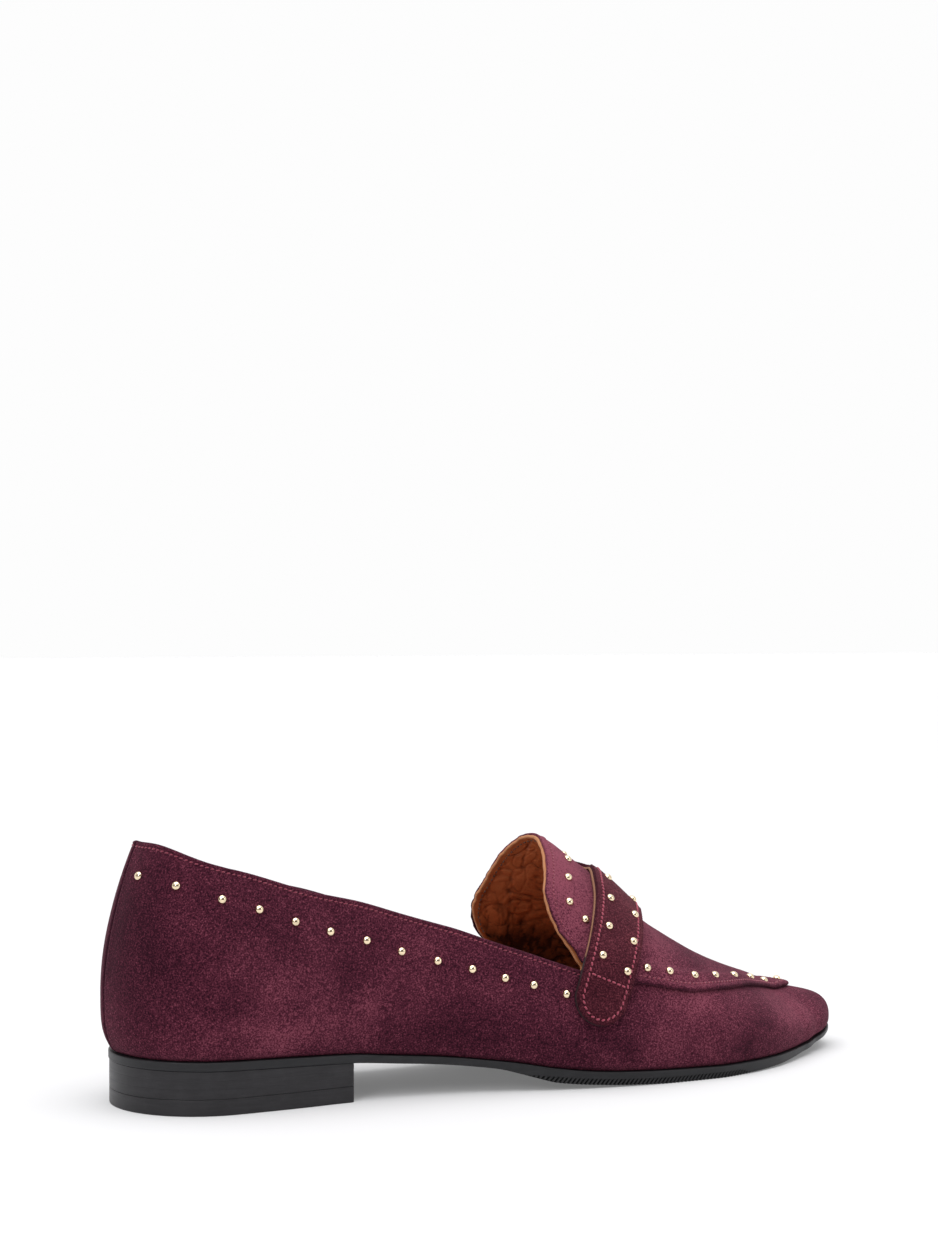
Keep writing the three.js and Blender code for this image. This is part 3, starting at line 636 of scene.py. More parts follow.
def board(name, dark, light, grain_size, stretch=(1, 1, 1)):
    """Pressed fibre or cork."""
    made, tree, shader = finish(name, {"Roughness": 0.9, "Specular IOR Level": 0.2})
    tone = mottle(tree, grain_size, 4, 0.7, stretch)
    shade = ramp(tree, tone, [(0.3, dark), (0.7, light)])
    wire(tree, shader, colour=shade, normal=bump(tree, tone, 0.15, 0.6))
    return made


SUEDE_FINISH = suede(
    "burgundy_suede", (0.020, 0.0032, 0.009), (0.076, 0.0140, 0.0285), (0.215, 0.054, 0.083),
    (0.9, 0.42, 0.52),
)
STRAP_FINISH = suede(
    "strap_suede", (0.020, 0.0032, 0.007), (0.060, 0.0105, 0.0185), (0.16, 0.038, 0.052),
    (0.9, 0.4, 0.46),
)
# The lining's dark end is painted shade, reached in its folds and deep in the vamp.
LINING_FINISH = grained_leather(
    "cognac_lining", (0.030, 0.0075, 0.005), (0.43, 0.122, 0.042), (0.68, 0.25, 0.10),
    (0.44, 0.19, 0.085), 0.42,
)
# The backing's dark end is painted shade, used on its lower part near the wall.
BACKING_FINISH = grained_leather(
    "strap_backing", (0.014, 0.004, 0.006), (0.20, 0.10, 0.05), (0.36, 0.2, 0.11),
    (0.27, 0.13, 0.075), 0.55,
)
SOLE_FINISH = sole_rubber("black_sole", (0.012, 0.012, 0.0135), 0.45)
HEEL_FINISH = sole_rubber("black_heel", (0.017, 0.016, 0.018), 0.42)
GOLD_FINISH = metal("pale_gold", (0.93, 0.76, 0.52), 0.1, 0.06)
STEEL_FINISH = metal("spring_steel", (0.5, 0.52, 0.54), 0.35, 0.2)
THREAD_FINISH = thread("rose_thread", (0.40, 0.052, 0.095))
QUIET_THREAD_FINISH = thread("wine_thread", (0.28, 0.036, 0.07))
BROWN_THREAD_FINISH = thread("brown_thread", (0.16, 0.09, 0.06))
BOARD_FINISH = board("fibre_board", (0.22, 0.15, 0.09), (0.42, 0.31, 0.2), 1.5, (1, 1, 3))
CORK_FINISH = board("cork", (0.2, 0.11, 0.05), (0.5, 0.33, 0.18), 2.5)
STIFF_FINISH = board("stiffener", (0.5, 0.44, 0.36), (0.72, 0.66, 0.56), 0.8)


# ---------------- uppers
SUEDE, LINING, BACKING = 1.2, 0.9, 0.8  # thicknesses
LAP = 3
LAP_RISE = 1.5
FOLD = 2.1  # thickness of the topline, where the suede folds over the lining
STITCH_BELOW_EDGE = 1.9
STITCH_INSIDE_SEAM = 2.4
SEAM_GAP = 0.06
RIM_STEPS = np.array(  # distances from a rim where rows lie
    [7, 6, 5, 4.2, 3.4, 2.8, 2.3, 1.9, 1.6, 1.3, 1.0, 0.75, 0.5, 0.3, 0.16, 0.06, 0]
)
BOTH_SIDES = (LATERAL, MEDIAL)


def wall_reach(side, path):
    """Upper edge of the wall: the topline, and under the apron a strip that the apron laps."""
    top = WALL_LEVEL(side, path)
    return top + level_step(side, path, top, LAP) * ease((path - THROAT) / 4)


def folded_at(path):
    """1 along the topline, 0 ahead of the throat, where the apron laps the wall."""
    return 1 - ease((path - THROAT + 1) / 4)


def level_at(side, path, share):
    """Level a share of the way from the wall's upper edge to the crest."""
    top = WALL_LEVEL(side, path)
    return top + share * (2 - top)


def round_the_tip(paths):
    """Sides and path places along the lateral side, round the tip and back."""
    side = np.concatenate([np.full(len(paths), LATERAL), np.full(len(paths) - 1, MEDIAL)])
    return side, np.concatenate([paths, paths[::-1][1:]])


def seam_paths(start, step, stop):
    """Path places that are close together near a seam at the start."""
    near = start + np.array([0, 0.1, 0.25, 0.45, 0.7, 1.0, 1.4, 2.0, 2.8, 3.8])
    last = near[-1]
    return np.concatenate([near, np.linspace(last + step, stop, round((stop - last) / step))])


# Patches where the suede is lighter (strength above 0) or darker (under 0): station, height, half
# width, half height and strength. The two last, over the tongue and the apron, are painted light.
NAP_AND_LIGHT_PATCHES = (
    (-2, 68, 16, 22, -0.75), (8, 44, 14, 16, -0.55), (28, 62, 20, 10, -0.2), (-2, 40, 7, 26, -0.4),
    (30, 24, 18, 5, 0.6), (50, 22, 12, 5, 0.8), (46, 38, 13, 6, 0.5), (64, 30, 9, 8, 0.1),
    (74, 27, 9, 6, 0.35), (108, 33, 7, 6, 0.4), (100, 20, 26, 7, -0.7),
    (128, 17, 22, 8, -0.55), (152, 16, 10, 8, -0.6), (171, 15, 13, 6, 0.6),
    (201, 10.5, 5, 3, -0.7), (213, 16.5, 5, 2.2, -0.7), (203, 23, 5, 3, -0.3),
    (190, 26, 16, 7, 0.8), (186, 12, 8, 4, 0.3), (236, 17, 16, 12, 0.8),
    # painted light on the upward-facing apron and tongue
    (168, 52, 26, 18, 1.1), (142, 70, 14, 16, 2.2),
)


def strayed(points, reach, size, seeds):
    """Points pushed about by noise."""
    return points + reach * stacked(*(soft_noise(points, size, seed) for seed in seeds))


def nap_and_light_at(points):
    """How much lighter or darker the suede is painted; on the tongue and the apron this is painted
    light.
    """
    total = np.zeros(points.shape[:-1])
    points = strayed(points, 3.5, 6, (31, 32, 33))
    for x, z, wide, high, strength in NAP_AND_LIGHT_PATCHES:
        near = ((points[..., 0] - x) / wide) ** 2 + ((points[..., 2] - z) / high) ** 2
        total += strength * np.exp(-near)
    return total


def make_wall():
    """Suede from the topline down to the margin turned under, with a seam at the back."""
    sides, paths = round_the_tip(seam_paths(BACK + SEAM_GAP, 1.1, TIP))
    margin = np.array([-1, -0.8, -0.6, -0.4, -0.25, -0.15, -0.08, -0.03])  # turned under
    level, rim = columns(sides, paths, lambda path: 0, wall_reach, RIM_STEPS, 42)
    level = np.concatenate([np.tile(margin, (len(paths), 1)), level], 1)
    rim = np.concatenate([-margin * LASTING_MARGIN + rim[:, :1], rim], 1)
    side, path = sides[:, None] + 0 * level, paths[:, None] + 0 * level
    folded = folded_at(path)
    seam = path - BACK
    thickness = SUEDE + (FOLD - SUEDE) * folded * (1 - ease((rim - 2.5) / 3))
    half = round_rim(rim, thickness)
    half = np.minimum(half, thickness / 2 - 0.5 + round_rim(seam - SEAM_GAP, 1.0, 0.5))
    half = np.minimum(half, round_rim((level + 1) * LASTING_MARGIN, thickness))
    # The folded edge stands proud, and the row of stitches below it draws it in. The suede
    # also swells beside the seam at the back, and dips into it.
    swell = folded * (0.22 * bell(rim - 0.95, 0.6) - 0.16 * bell(rim - STITCH_BELOW_EDGE, 0.4))
    swell = swell + 0.3 * bell(seam - 1.6, 1.2) - 0.35 * bell(seam, 0.6)
    from_feather = np.where(level < 0, level * LASTING_MARGIN, level * BULGE_HEIGHT(path))
    corner = bell(from_feather, 0.8)
    outer = surface(side, path, level, swell - thickness / 2 + half - 0.45 * corner)
    inner = surface(side, path, level, swell - thickness / 2 - half)
    marks = {
        "edge": [folded * bell(rim, 0.8) * 0.7 + bell(seam, 0.8)],
        "nap_and_light": [nap_and_light_at(outer)],
    }
    sheet_solid("wall", [(outer, inner)], SUEDE_FINISH, "upper_suede", ["wall_suede"], marks)


# Distances in from the tongue's rear edge where its columns lie.
EDGE_STEPS = np.array([0, 0.06, 0.16, 0.3, 0.5, 0.75, 1.1, 1.6, 2.2])
FORE = 152  # path place ahead of which the apron's columns run straight up to the crest


def ragged(side, share):
    """How far the tongue's raw edge strays from its cut line."""
    place = stacked(np.asarray(side) * 7.0, np.asarray(share) * 42, 0 * np.asarray(share))
    rough = 0.28 * soft_noise(place, 2.6, 5) + 0.2 * soft_noise(place, 0.9, 6)
    return rough * (1 + 1.6 * bell(share, 0.25))


def apron_grid(rear_columns, crest_rows, inset, step):
    """Sides, paths, levels and rim distances of the patch from the tongue's edge to the tip."""
    fore_paths = np.linspace(FORE, TOE_CORE, round((TOE_CORE - FORE) / step) + 1)
    toe_paths = np.linspace(TOE_CORE, TIP, round((TIP - TOE_CORE) / step) + 1)[1:]
    halves = []
    for side in BOTH_SIDES:
        top = float(WALL_LEVEL(side, FORE))
        guide, rim = along(side, FORE, 2, top, RIM_STEPS, crest_rows)
        share = (guide - top) / (2 - top)
        edge = TONGUE_EDGE(side, share) + inset(side, share)
        rows = [(edge + step_in, rim, np.full_like(rim, step_in)) for step_in in EDGE_STEPS]
        start = edge + EDGE_STEPS[-1]
        for t in np.linspace(0, 1, rear_columns + 1)[1:]:
            more = (FORE - start) * t
            rows.append((start + more, rim, EDGE_STEPS[-1] + more))
        grid = []
        for path, rim, from_edge in rows:
            grid.append((path, level_at(side, path, share), rim, from_edge))
        for path in np.concatenate([fore_paths[1:], toe_paths]):
            top = float(WALL_LEVEL(side, path))
            level, rim = along(side, path, 2, top, RIM_STEPS, crest_rows)
            same = np.ones_like(rim)
            grid.append((path * same, level, rim, (path - edge.min()) * same))
        halves.append(np.array(grid))  # columns, (path, level, rim, from_edge), rows from crest
    lateral, medial = halves
    both = np.concatenate([lateral[:, :, ::-1], medial[:, :, 1:]], axis=2)
    rows = lateral.shape[2]
    side = np.concatenate([np.full(rows, LATERAL), np.full(rows - 1, MEDIAL)])
    path, level, rim, from_edge = (both[:, k] for k in range(4))
    return side[None, :] + 0 * path, path, level, rim, from_edge


def apron_rise(path, rim):
    return LAP_RISE * (1 - ease((rim - 5.5) / 5) * APRON_SETTLES(path))


def make_apron():
    """Patch over the toe and the tongue, whose rim lies over the wall's upper edge."""
    at_edge = 0.85  # the suede is pared thin at the tongue's edge
    side, path, level, rim, from_edge = apron_grid(14, 46, ragged, 1.1)
    thin = at_edge + (SUEDE - at_edge) * ease((from_edge - 2) / 4)
    half = np.minimum(round_rim(rim, thin), round_rim(from_edge, thin, 0.3))
    swell = 0.25 * bell(rim - 1.1, 0.8) - 0.15 * bell(rim - STITCH_INSIDE_SEAM, 0.4)
    swell = swell * ease((path - THROAT) / 6)
    rise = apron_rise(path, rim) + swell
    outer = surface(side, path, level, rise - thin / 2 + half)
    inner = surface(side, path, level, rise - thin / 2 - half)
    marks = {
        "edge": [np.maximum(bell(rim, 0.7) * 0.8, bell(from_edge, 0.45))],
        "nap_and_light": [nap_and_light_at(outer)],
    }
    sheet_solid("apron", [(outer, inner)], SUEDE_FINISH, "upper_suede", ["apron_suede"], marks)


STRAP_END_SCALE = 82  # millimetres of skin to one level at the strap's end


def strap_grid(grow):
    """Sides, paths, levels and rim distances of a strap that is a little wider or narrower."""
    turn = np.linspace(0, math.pi / 2, 22)
    more = grow / STRAP_END_SCALE
    rounded = STRAP_END - more + (STRAP_ROUNDING + more) * (1 - np.cos(turn))
    straight = np.linspace(STRAP_END + STRAP_ROUNDING, 2, 84)[1:]
    level = np.concatenate([rounded, straight])
    width = np.concatenate([np.sin(turn), np.ones(len(straight))])
    across = np.sin(np.linspace(-1, 1, 45) * math.pi / 2)
    half = (STRAP_HALF(level) + grow) * width
    path = STRAP_MIDDLE(level)[:, None] + half[:, None] * across
    level = level[:, None] + 0 * path
    side = np.concatenate([np.full_like(path, LATERAL), np.full_like(path, MEDIAL)[:-1]])
    path = np.concatenate([path, path[::-1][1:]])
    level = np.concatenate([level, level[::-1][1:]])
    base = last_point(side, path, level)
    outline = np.concatenate([base[:, 0], base[:, -1], base[0], base[-1]])
    rim = np.linalg.norm(base[:, :, None] - outline[None, None, ::2], axis=-1).min(-1)
    rim[:, [0, -1]] = 0
    rim[[0, -1]] = 0
    return side, path, level, rim


def make_strap():
    """Suede strap over its slightly wider leather backing."""
    side, path, level, rim = strap_grid(0.15)
    rise = STRAP_RISE(level) + BACKING / 2
    half = round_rim(rim, BACKING, 0.2)
    outer, inner = (surface(side, path, level, rise + h) for h in (half, -half))
    raw = ease((level - 1.27) / 0.05)  # above, the raw edge shows; lower down, painted shade darkens the backing nearly to black
    marks = {"edge": [bell(rim, 1.2) * raw], "folds_and_shade": [4 * (1 - raw)]}
    sheet_solid(
        "strap_under_leather", [(outer, inner)], BACKING_FINISH, "strap_backing",
        ["strap_backing"], marks,
    )
    side, path, level, rim = strap_grid(0)
    half = round_rim(rim, SUEDE, 0.35)
    swell = 0.3 * ease(rim / 3) - 0.18 * bell(rim - 2.2, 0.45)  # drawn in along the stitches
    rise = STRAP_RISE(level) + BACKING + 0.05 + SUEDE / 2
    outer = surface(side, path, level, rise + half + swell * ease(rim / 0.5))
    inner = surface(side, path, level, rise - half)
    marks = {"edge": [bell(rim, 0.5)], "nap_and_light": [0.1 * nap_and_light_at(outer)]}
    sheet_solid("strap", [(outer, inner)], STRAP_FINISH, "strap_suede", ["strap_suede"], marks)


# ---------------- linings
LINING_LOW = curve((90, 0.12), (215, 0.2), (244, 0.2), (257, 1.02), (TIP, 1.28))
LINING_DEPTH = curve(
    (72, 2.8), (84, 2.3), (THROAT, 2.3), (THROAT + 12, 1.5), (214, 1.5), (222, 2.6)
)
LINING_BELOW_TOPLINE = 0.9
LINING_SHADE_TOP = 51  # height below which shade is painted on the vamp's lining, darker towards the bottom


def creases(points):
    """Valleys of the worn, wrinkled lining: 0 on the flat, about 1 in the folds. They shape the
    folds and carry the shade painted in them.
    """
    bent = strayed(points, 3, 9, (11, 12, 13))
    long_folds = bell(soft_noise(bent, (10, 7, 5), 14), 0.07)
    fine_folds = bell(soft_noise(bent, (5, 4, 2.6), 15), 0.08)
    upright = bell(soft_noise(bent, (2.8, 4, 10), 16), 0.09)
    return np.clip(0.7 * long_folds + 0.5 * fine_folds + 0.6 * upright, 0, 1.2)


def lining_sheet(side, path, level, rim, wrinkled):
    """Both faces of a stretch of lining, and its marks."""
    folded = folded_at(path)
    near_top = 2.15 + (LINING_DEPTH(path) - 2.15) * ease(rim / 5)
    depth = np.where(folded > 0, near_top * folded + LINING_DEPTH(path) * (1 - folded), near_top)
    thickness = LINING + 0.25 * wrinkled
    half = round_rim(rim, thickness)
    middle = -depth - thickness / 2
    base = last_point(side, path, level)
    # The folds shape the inner face, and shade is painted in them.
    folds_and_shade = creases(base) * (0.35 + 0.65 * wrinkled)
    outer = surface(side, path, level, middle + half)
    inner = surface(side, path, level, middle - half + 0.38 * folds_and_shade * ease(rim / 2))
    return outer, inner, folds_and_shade


def depth_shade(points):
    """Painted shade on the lining, darker deep down in the vamp."""
    return 1.7 * ease((LINING_SHADE_TOP - points[..., 2]) / 13)


def ahead_of_throat(path):
    return ease((path - THROAT + 3) / 3)


def lining_top(side, path):
    """Upper edge of the lining: a little below the topline, and ahead at the apron seam."""
    top = WALL_LEVEL(side, path)
    return top - level_step(side, path, top, LINING_BELOW_TOPLINE) * (1 - ahead_of_throat(path))


def side_lining(side, paths, steps, count, wrinkled):
    """Both faces of the lining of one side, up to the topline or the apron seam."""
    side = np.full(len(paths), side)
    level, rim = columns(side, paths, LINING_LOW, lining_top, steps, count)
    rim = rim + 40 * ahead_of_throat(paths)[:, None]
    path = paths[:, None] + 0 * level
    return lining_sheet(side[:, None] + 0 * path, path, level, rim, wrinkled)


def make_quarter_lining(side, name, node_name):
    paths = seam_paths(BACK + SEAM_GAP, 1.6, LINING_SEAM - 0.3)
    outer, inner, folds_and_shade = side_lining(side, paths, RIM_STEPS[::2], 26, 0.25)
    # Painted shade in the folds of the quarter lining.
    marks = {"edge": [0 * folds_and_shade], "folds_and_shade": [folds_and_shade]}
    sheet_solid(name, [(outer, inner)], LINING_FINISH, "lining_leather", [node_name], marks)


def lining_inset(side, share):
    """How far ahead of its cut line the tongue's lining ends: mostly less than 0, so that its
    raw edge shows behind the suede."""
    own = 0.3 * soft_noise(stacked(side * 7.0, np.asarray(share) * 42, 3.0), 1.3, 9)
    return 0.6 * ragged(side, share) - (0.3 + own) * ease(share / 0.06)


def crest_lining():
    """Both faces of the lining over the crest, its marks and the places of its columns."""
    side, path, level, _, from_edge = apron_grid(26, 110, lining_inset, 0.9)
    fresh = bell(from_edge, 3.0)
    thickness = 0.95 + 0.15 * fresh
    start = 0.87 + 0.03 * fresh
    depth = start + (LINING_DEPTH(path) - start) * ease((from_edge - 3) / 12)
    half = round_rim(from_edge, thickness, 0.35)
    middle = -depth - thickness / 2
    folds_and_shade = creases(last_point(side, path, level)) * ease((from_edge - 0.8) / 3)
    outer = surface(side, path, level, middle + half)
    inner = surface(side, path, level, middle - half + 0.5 * folds_and_shade)
    # Painted shade deep in the vamp.
    folds_and_shade = folds_and_shade + depth_shade(inner) * ease(from_edge / 4)
    return outer, inner, bell(from_edge, 0.55), folds_and_shade, path[:, 0]


def make_vamp_lining():
    """One sheet: the part over the crest, and the sides that join it along the apron seam."""
    over, under, edge, folds_and_shade, seam_columns = crest_lining()
    sheets = [(over, under)]
    marks = {"edge": [edge], "folds_and_shade": [folds_and_shade]}
    behind = np.linspace(LINING_SEAM, THROAT, 18)[:-1]
    joined = len(behind)
    for side, row in ((LATERAL, 0), (MEDIAL, -1)):
        paths = np.concatenate([behind, seam_columns])
        outer, inner, folds_and_shade = side_lining(side, paths, RIM_STEPS[::3], 16, 0.4)
        outer[joined:, -1], inner[joined:, -1] = over[:, row], under[:, row]
        sheets.append((outer, inner))
        marks["edge"].append(0 * folds_and_shade)
        # Painted shade in the folds and deep in the vamp.
        marks["folds_and_shade"].append(folds_and_shade + depth_shade(inner))
    sheet_solid(
        "vamp_lining_leather", sheets, LINING_FINISH, "lining_leather", ["vamp_lining"], marks
    )


# ---------------- soles and heel
SOLE_MARGIN = 1.2
HEEL_MARGIN = 0.9
TOP_PIECE = 5
SEAM = 0.06  # pieces that lie on each other stay this far apart
RIB_PITCH = 1.4
RIB_START, RIB_STOP = 120, 207
RIB_BAND = curve((121, 0), (127, 0.9), (135, 2.1), (178, 2.1), (199, 1.9), (207, 0))
SOCK_TOP, SOCK_FOOT = 4.95, 3.5  # above the feather line
TOE_INSET = curve((240, 0), (TIP, 3))
CORNER_STEPS = np.array([3, 2, 1.4, 1.0, 0.7, 0.45, 0.25, 0.1, 0])
LIFT_JOINTS = (0.36, 0.68)  # faint joints between the heel's layers, in parts of its height


def flat_grid(side, path, rows, bottom, top):
    """Grid of a flat body. Rows run from the middle of its top over the rim to the middle of
    its bottom: (share of the radius, margin, part of the height, rise)."""
    columns = []
    for share, margin, part, rise in rows:
        point = plan_point(side, path, np.full(len(path), share), margin, 0.0)
        low = bottom(point[:, 0])
        point[:, 2] = low + part * (top(point[:, 0]) - low) + rise
        columns.append(point)
    return np.stack(columns, 1)


def slab_rows(margin, corner, drops, inner=(0, 0.3, 0.6, 0.8, 0.9), dish=0.0):
    """Rows of a flat body with rounded corners. Drops are parts of the height down its side."""
    rows = [(share, margin - corner - 1.5, 1, -dish * (1 - share**2)) for share in inner]
    turn = np.linspace(0, math.pi / 2, 5)
    rows += [(1, margin - corner * (1 - np.sin(a)), 1, -corner * (1 - np.cos(a))) for a in turn]
    rows += [(1, margin, 1 - d, corner * (2 * d - 1)) for d in drops]
    rows += [(1, margin - corner * (1 - np.cos(a)), 0, corner * (1 - np.sin(a))) for a in turn]
    return rows + [(share, margin - corner - 1.5, 0, 0) for share in inner[::-1]]


def make_outsole():
    """Thin sole, with fine slanted notches low in its edge under the forefoot."""
    ribbed = np.arange(RIB_START, RIB_STOP, RIB_PITCH / 7)
    behind, ahead = np.linspace(BACK, ribbed[0] - 1, 150), np.linspace(ribbed[-1] + 0.8, TIP, 70)
    side, path = round_the_tip(np.concatenate([behind, ribbed, ahead]))
    base = plan_point(side, path, np.ones(len(path)), SOLE_MARGIN, 0.0)
    run = run_along(base)
    station = base[:, 0]
    height = FEATHER_HEIGHT(station) - TREAD_HEIGHT(station)
    rows, hollow = [], []
    drops = np.linspace(0, 1, 15)[1:-1]
    for share, margin, part, rise in slab_rows(SOLE_MARGIN, 0.35, drops):
        if share == 1:
            above = part * height + rise
            inside = ease((RIB_BAND(station) - above) / 0.35) * ease(RIB_BAND(station) / 0.5)
            notch = (0.5 + 0.5 * np.sin((run - 0.8 * above) / RIB_PITCH * 2 * math.pi)) ** 2
            margin = margin + inside * (0.15 - 1.0 * notch)
            hollow.append(inside * notch)
        else:
            hollow.append(np.zeros(len(path)))
        rows.append((share, margin, part, rise))

    def top(x):
        return FEATHER_HEIGHT(x) - SEAM

    grid = flat_grid(side, path, rows, TREAD_HEIGHT, top)
    # The notch mark paints shade in the notches.
    marks = {"notch_shade": [np.stack(hollow, 1)]}
    solid("sole", [grid], SOLE_FINISH, "sole_rubber", ["outsole"], marks)


def heel_part(name, rows, bottom, top, slot, stands_for):
    """A layer of the heel, cut off square at the breast, which is a little hollow."""
    paths = np.concatenate([np.linspace(BACK, HEEL_BREAST - 4, 90), HEEL_BREAST - CORNER_STEPS])
    side = np.concatenate([np.full(len(paths), MEDIAL), np.full(len(paths) - 1, LATERAL)])
    path = np.concatenate([paths[::-1], paths[1:]])
    near = np.clip(1 - (HEEL_BREAST - path) / 0.9, 0, 1)
    rounded = 0.9 * (1 - np.sqrt(1 - near**2))
    rows = [(r[0], r[1] - rounded * (r[0] == 1), *r[2:]) for r in rows]
    grid = flat_grid(side, path, rows, bottom, top)
    across = np.linspace(0, 1, 15)[:, None, None]
    breast = grid[-1][None] * across + grid[0][None] * (1 - across)
    breast[..., 0] -= 0.8 * np.sin(across[..., 0] * math.pi)
    plain = {"notch_shade": [0 * grid[..., 0], 0 * breast[..., 0]]}
    solid(name, [grid, breast], HEEL_FINISH, slot, stands_for, plain)


def make_heel():
    """Block with faint joints between its layers, and the top piece it stands on."""
    drops = np.linspace(0, 1, 60)[1:-1]
    rows = []
    for share, margin, part, rise in slab_rows(HEEL_MARGIN, 0.12, drops):
        joint = 0.05 * sum(bell(part - place, 0.012) for place in LIFT_JOINTS) if share == 1 else 0
        rows.append((share, margin - joint, part, rise))
    heel_part(
        "heel", rows, lambda x: TOP_PIECE + SEAM + 0 * x, lambda x: TREAD_HEIGHT(x) - SEAM,
        "heel_stack", ["heel_block"],
    )
    rows = slab_rows(HEEL_MARGIN, 0.3, np.linspace(0, 1, 8)[1:-1])
    heel_part(
        "heel_tip", rows, lambda x: 0 * x, lambda x: TOP_PIECE + 0 * x,
        "sole_rubber", ["heel_top_piece"],
    )


def make_sock():
    """Padded leather sock over the insole board, a little dished."""
    side, path = round_the_tip(seam_paths(BACK, 1.5, TIP))
    margin = -(LINING_DEPTH(path) + LINING + 0.1 + TOE_INSET(path))
    inner = (0, 0.15, 0.3, 0.45, 0.6, 0.72, 0.82, 0.9, 0.95)
    rows = slab_rows(0, 0.5, (0.5,), inner, 0.5)
    rows = [(share, margin + reach, part, rise) for share, reach, part, rise in rows]
    grid = flat_grid(
        side, path, rows, lambda x: FEATHER_HEIGHT(x) + SOCK_FOOT,
        lambda x: FEATHER_HEIGHT(x) + SOCK_TOP,
    )
    # Painted shade in the sock's folds.
    marks = {"edge": [0 * grid[..., 0]], "folds_and_shade": [0.4 * creases(grid)]}
    solid("sock", [grid], LINING_FINISH, "lining_leather", ["sock_liner"], marks)


# ---------------- studs
CREST_LEVEL = 2 - 1e-6  # just short of the crest, where the two sides meet
STRAP_STUD_ROWS = ((-0.46, (1.307, 1.434, 1.593, 1.785)), (0.6, (1.27, 1.405, 1.572, 1.78)))
TONGUE_STUDS = ((148.6, 1.453), (144.4, 1.506), (147.5, 1.632), (152.3, 1.79))
TONGUE_MIDDLE_STUD = 157.5
STUD_PROFILE = np.array(  # radius and height, from under the foot over the dome
    [(0, -0.5), (0.45, -0.5), (0.5, -0.05), (1.3, -0.08), (1.4, 0.0), (1.42, 0.12), (1.37, 0.34),
     (1.25, 0.58), (1.05, 0.82), (0.78, 1.01), (0.45, 1.14), (0.2, 1.19), (0, 1.2)]
)


def stud_grid(centre, normal, sides=30):
    """Domed stud standing on a point: a turned grid of points."""
    normal = np.asarray(normal)
    level = unit(np.cross(normal, (0.3, 0.2, 1)))
    other = np.cross(normal, level)
    turn = np.linspace(0, 2 * math.pi, sides + 1)[:, None, None]
    radius, height = STUD_PROFILE[:, :1], STUD_PROFILE[:, 1:]
    return centre + radius * (np.cos(turn) * level + np.sin(turn) * other) + height * normal


def set_on(host, side, path, level):
    """Where a piece set on a host's surface stands, and the way it looks."""
    rough = skin_point(side, path, level, 5.0)
    normal = last_normal(side, path, level)
    hit, face_normal, _, _ = HOSTS[host].ray_cast(Vector(rough), Vector(-normal))
    return np.array(hit), unit(0.5 * normal + 0.5 * np.array(face_normal))


def mirrored(places, middle):
    """Places on the lateral side, the one in the middle, and the medial side's backwards."""
    lateral, medial = ([(side, *place) for place in places] for side in BOTH_SIDES)
    return [*lateral, (LATERAL, *middle), *medial[::-1]]


def stud_rows():
    """Names of stud groups with their host, side, path and level."""
    for name, side in (("lateral", LATERAL), ("medial", MEDIAL)):
        yield f"topline_studs_{name}", "wall", [
            (side, path, float(WALL_LEVEL(side, path) - STUD_BELOW_TOPLINE(path)))
            for path in TOPLINE_STUDS[side]
        ]
    for row, (across, levels) in enumerate(STRAP_STUD_ROWS):
        spots = mirrored([(level,) for level in levels], (CREST_LEVEL,))
        for i, (side, level) in enumerate(spots):
            path = float(strap_place(across, level))
            number = row * len(spots) + i + 1
            yield f"strap_stud_{number:02d}", "strap", [(side, path, level)]
    for i, spot in enumerate(mirrored(TONGUE_STUDS, (TONGUE_MIDDLE_STUD, CREST_LEVEL))):
        yield f"tongue_stud_{i + 1:02d}", "apron", [spot]
    for i, (side, path) in enumerate(mirrored([(path,) for path in APRON_STUDS], (TIP,))):
        level = float(WALL_LEVEL(side, path) + STUD_ABOVE_SEAM(path))
        yield f"apron_stud_{i + 1:02d}", "apron", [(side, path, level)]


def make_studs():
    for node_name, host, spots in stud_rows():
        grids = [stud_grid(*set_on(host, *spot)) for spot in spots]
        name = node_name + ("_domes" if len(spots) > 1 else "_dome")
        solid(name, grids, GOLD_FINISH, "stud_metal", [node_name])


# ---------------- stitches
BOX_LEVELS = (1.235, 1.21)  # where the stitches across the strap's end start and stop


def spaced(line, pitch):
    """Points along a line at an even pitch, and the directions there."""
    run = run_along(line)
    count = max(2, round(run[-1] / pitch))
    at = (np.arange(count) + 0.5) * run[-1] / count
    spots = np.stack([np.interp(at, run, line[:, k]) for k in range(3)], -1)
    ahead = np.stack([np.interp(at + 0.1, run, line[:, k]) for k in range(3)], -1)
    return spots, unit(ahead - spots)


def stitch_grids(host, line, pitch, length=1.2, radius=0.22, slant=0.0):
    """Short bowed threads along a line, lying on a host's surface."""
    spots, directions = spaced(line, pitch)
    grids = []
    t = np.linspace(-1, 1, 9)[:, None, None]
    turn = np.linspace(0, 2 * math.pi, 9)[None, :, None]
    for i, (spot, ahead) in enumerate(zip(spots, directions)):
        hit, normal, _, _ = HOSTS[host].find_nearest(Vector(spot))
        centre, normal = np.array(hit), np.array(normal)
        ahead = unit(ahead - normal * (ahead @ normal))
        beside = np.cross(normal, ahead)
        ahead = unit(ahead + beside * (slant + 0.08 * lattice(np.array([i, 3, 5]), 21)))
        beside = np.cross(normal, ahead)
        own = 1 + 0.12 * lattice(np.array([i, 8, 2]), 22)
        bow = 0.12 * (1 - t**2 - t**6)
        girth = radius * np.sqrt(np.maximum(1 - np.abs(t) ** 3.2, 0))
        grids.append(
            centre + ahead * t * length / 2 * own + normal * bow
            + girth * (np.cos(turn) * beside + np.sin(turn) * normal)
        )
    return grids


def below_rim(side, paths, distance):
    """Levels that lie a distance below the wall's upper edge."""
    top = WALL_LEVEL(side, paths)
    return top - level_step(side, paths, top, distance)


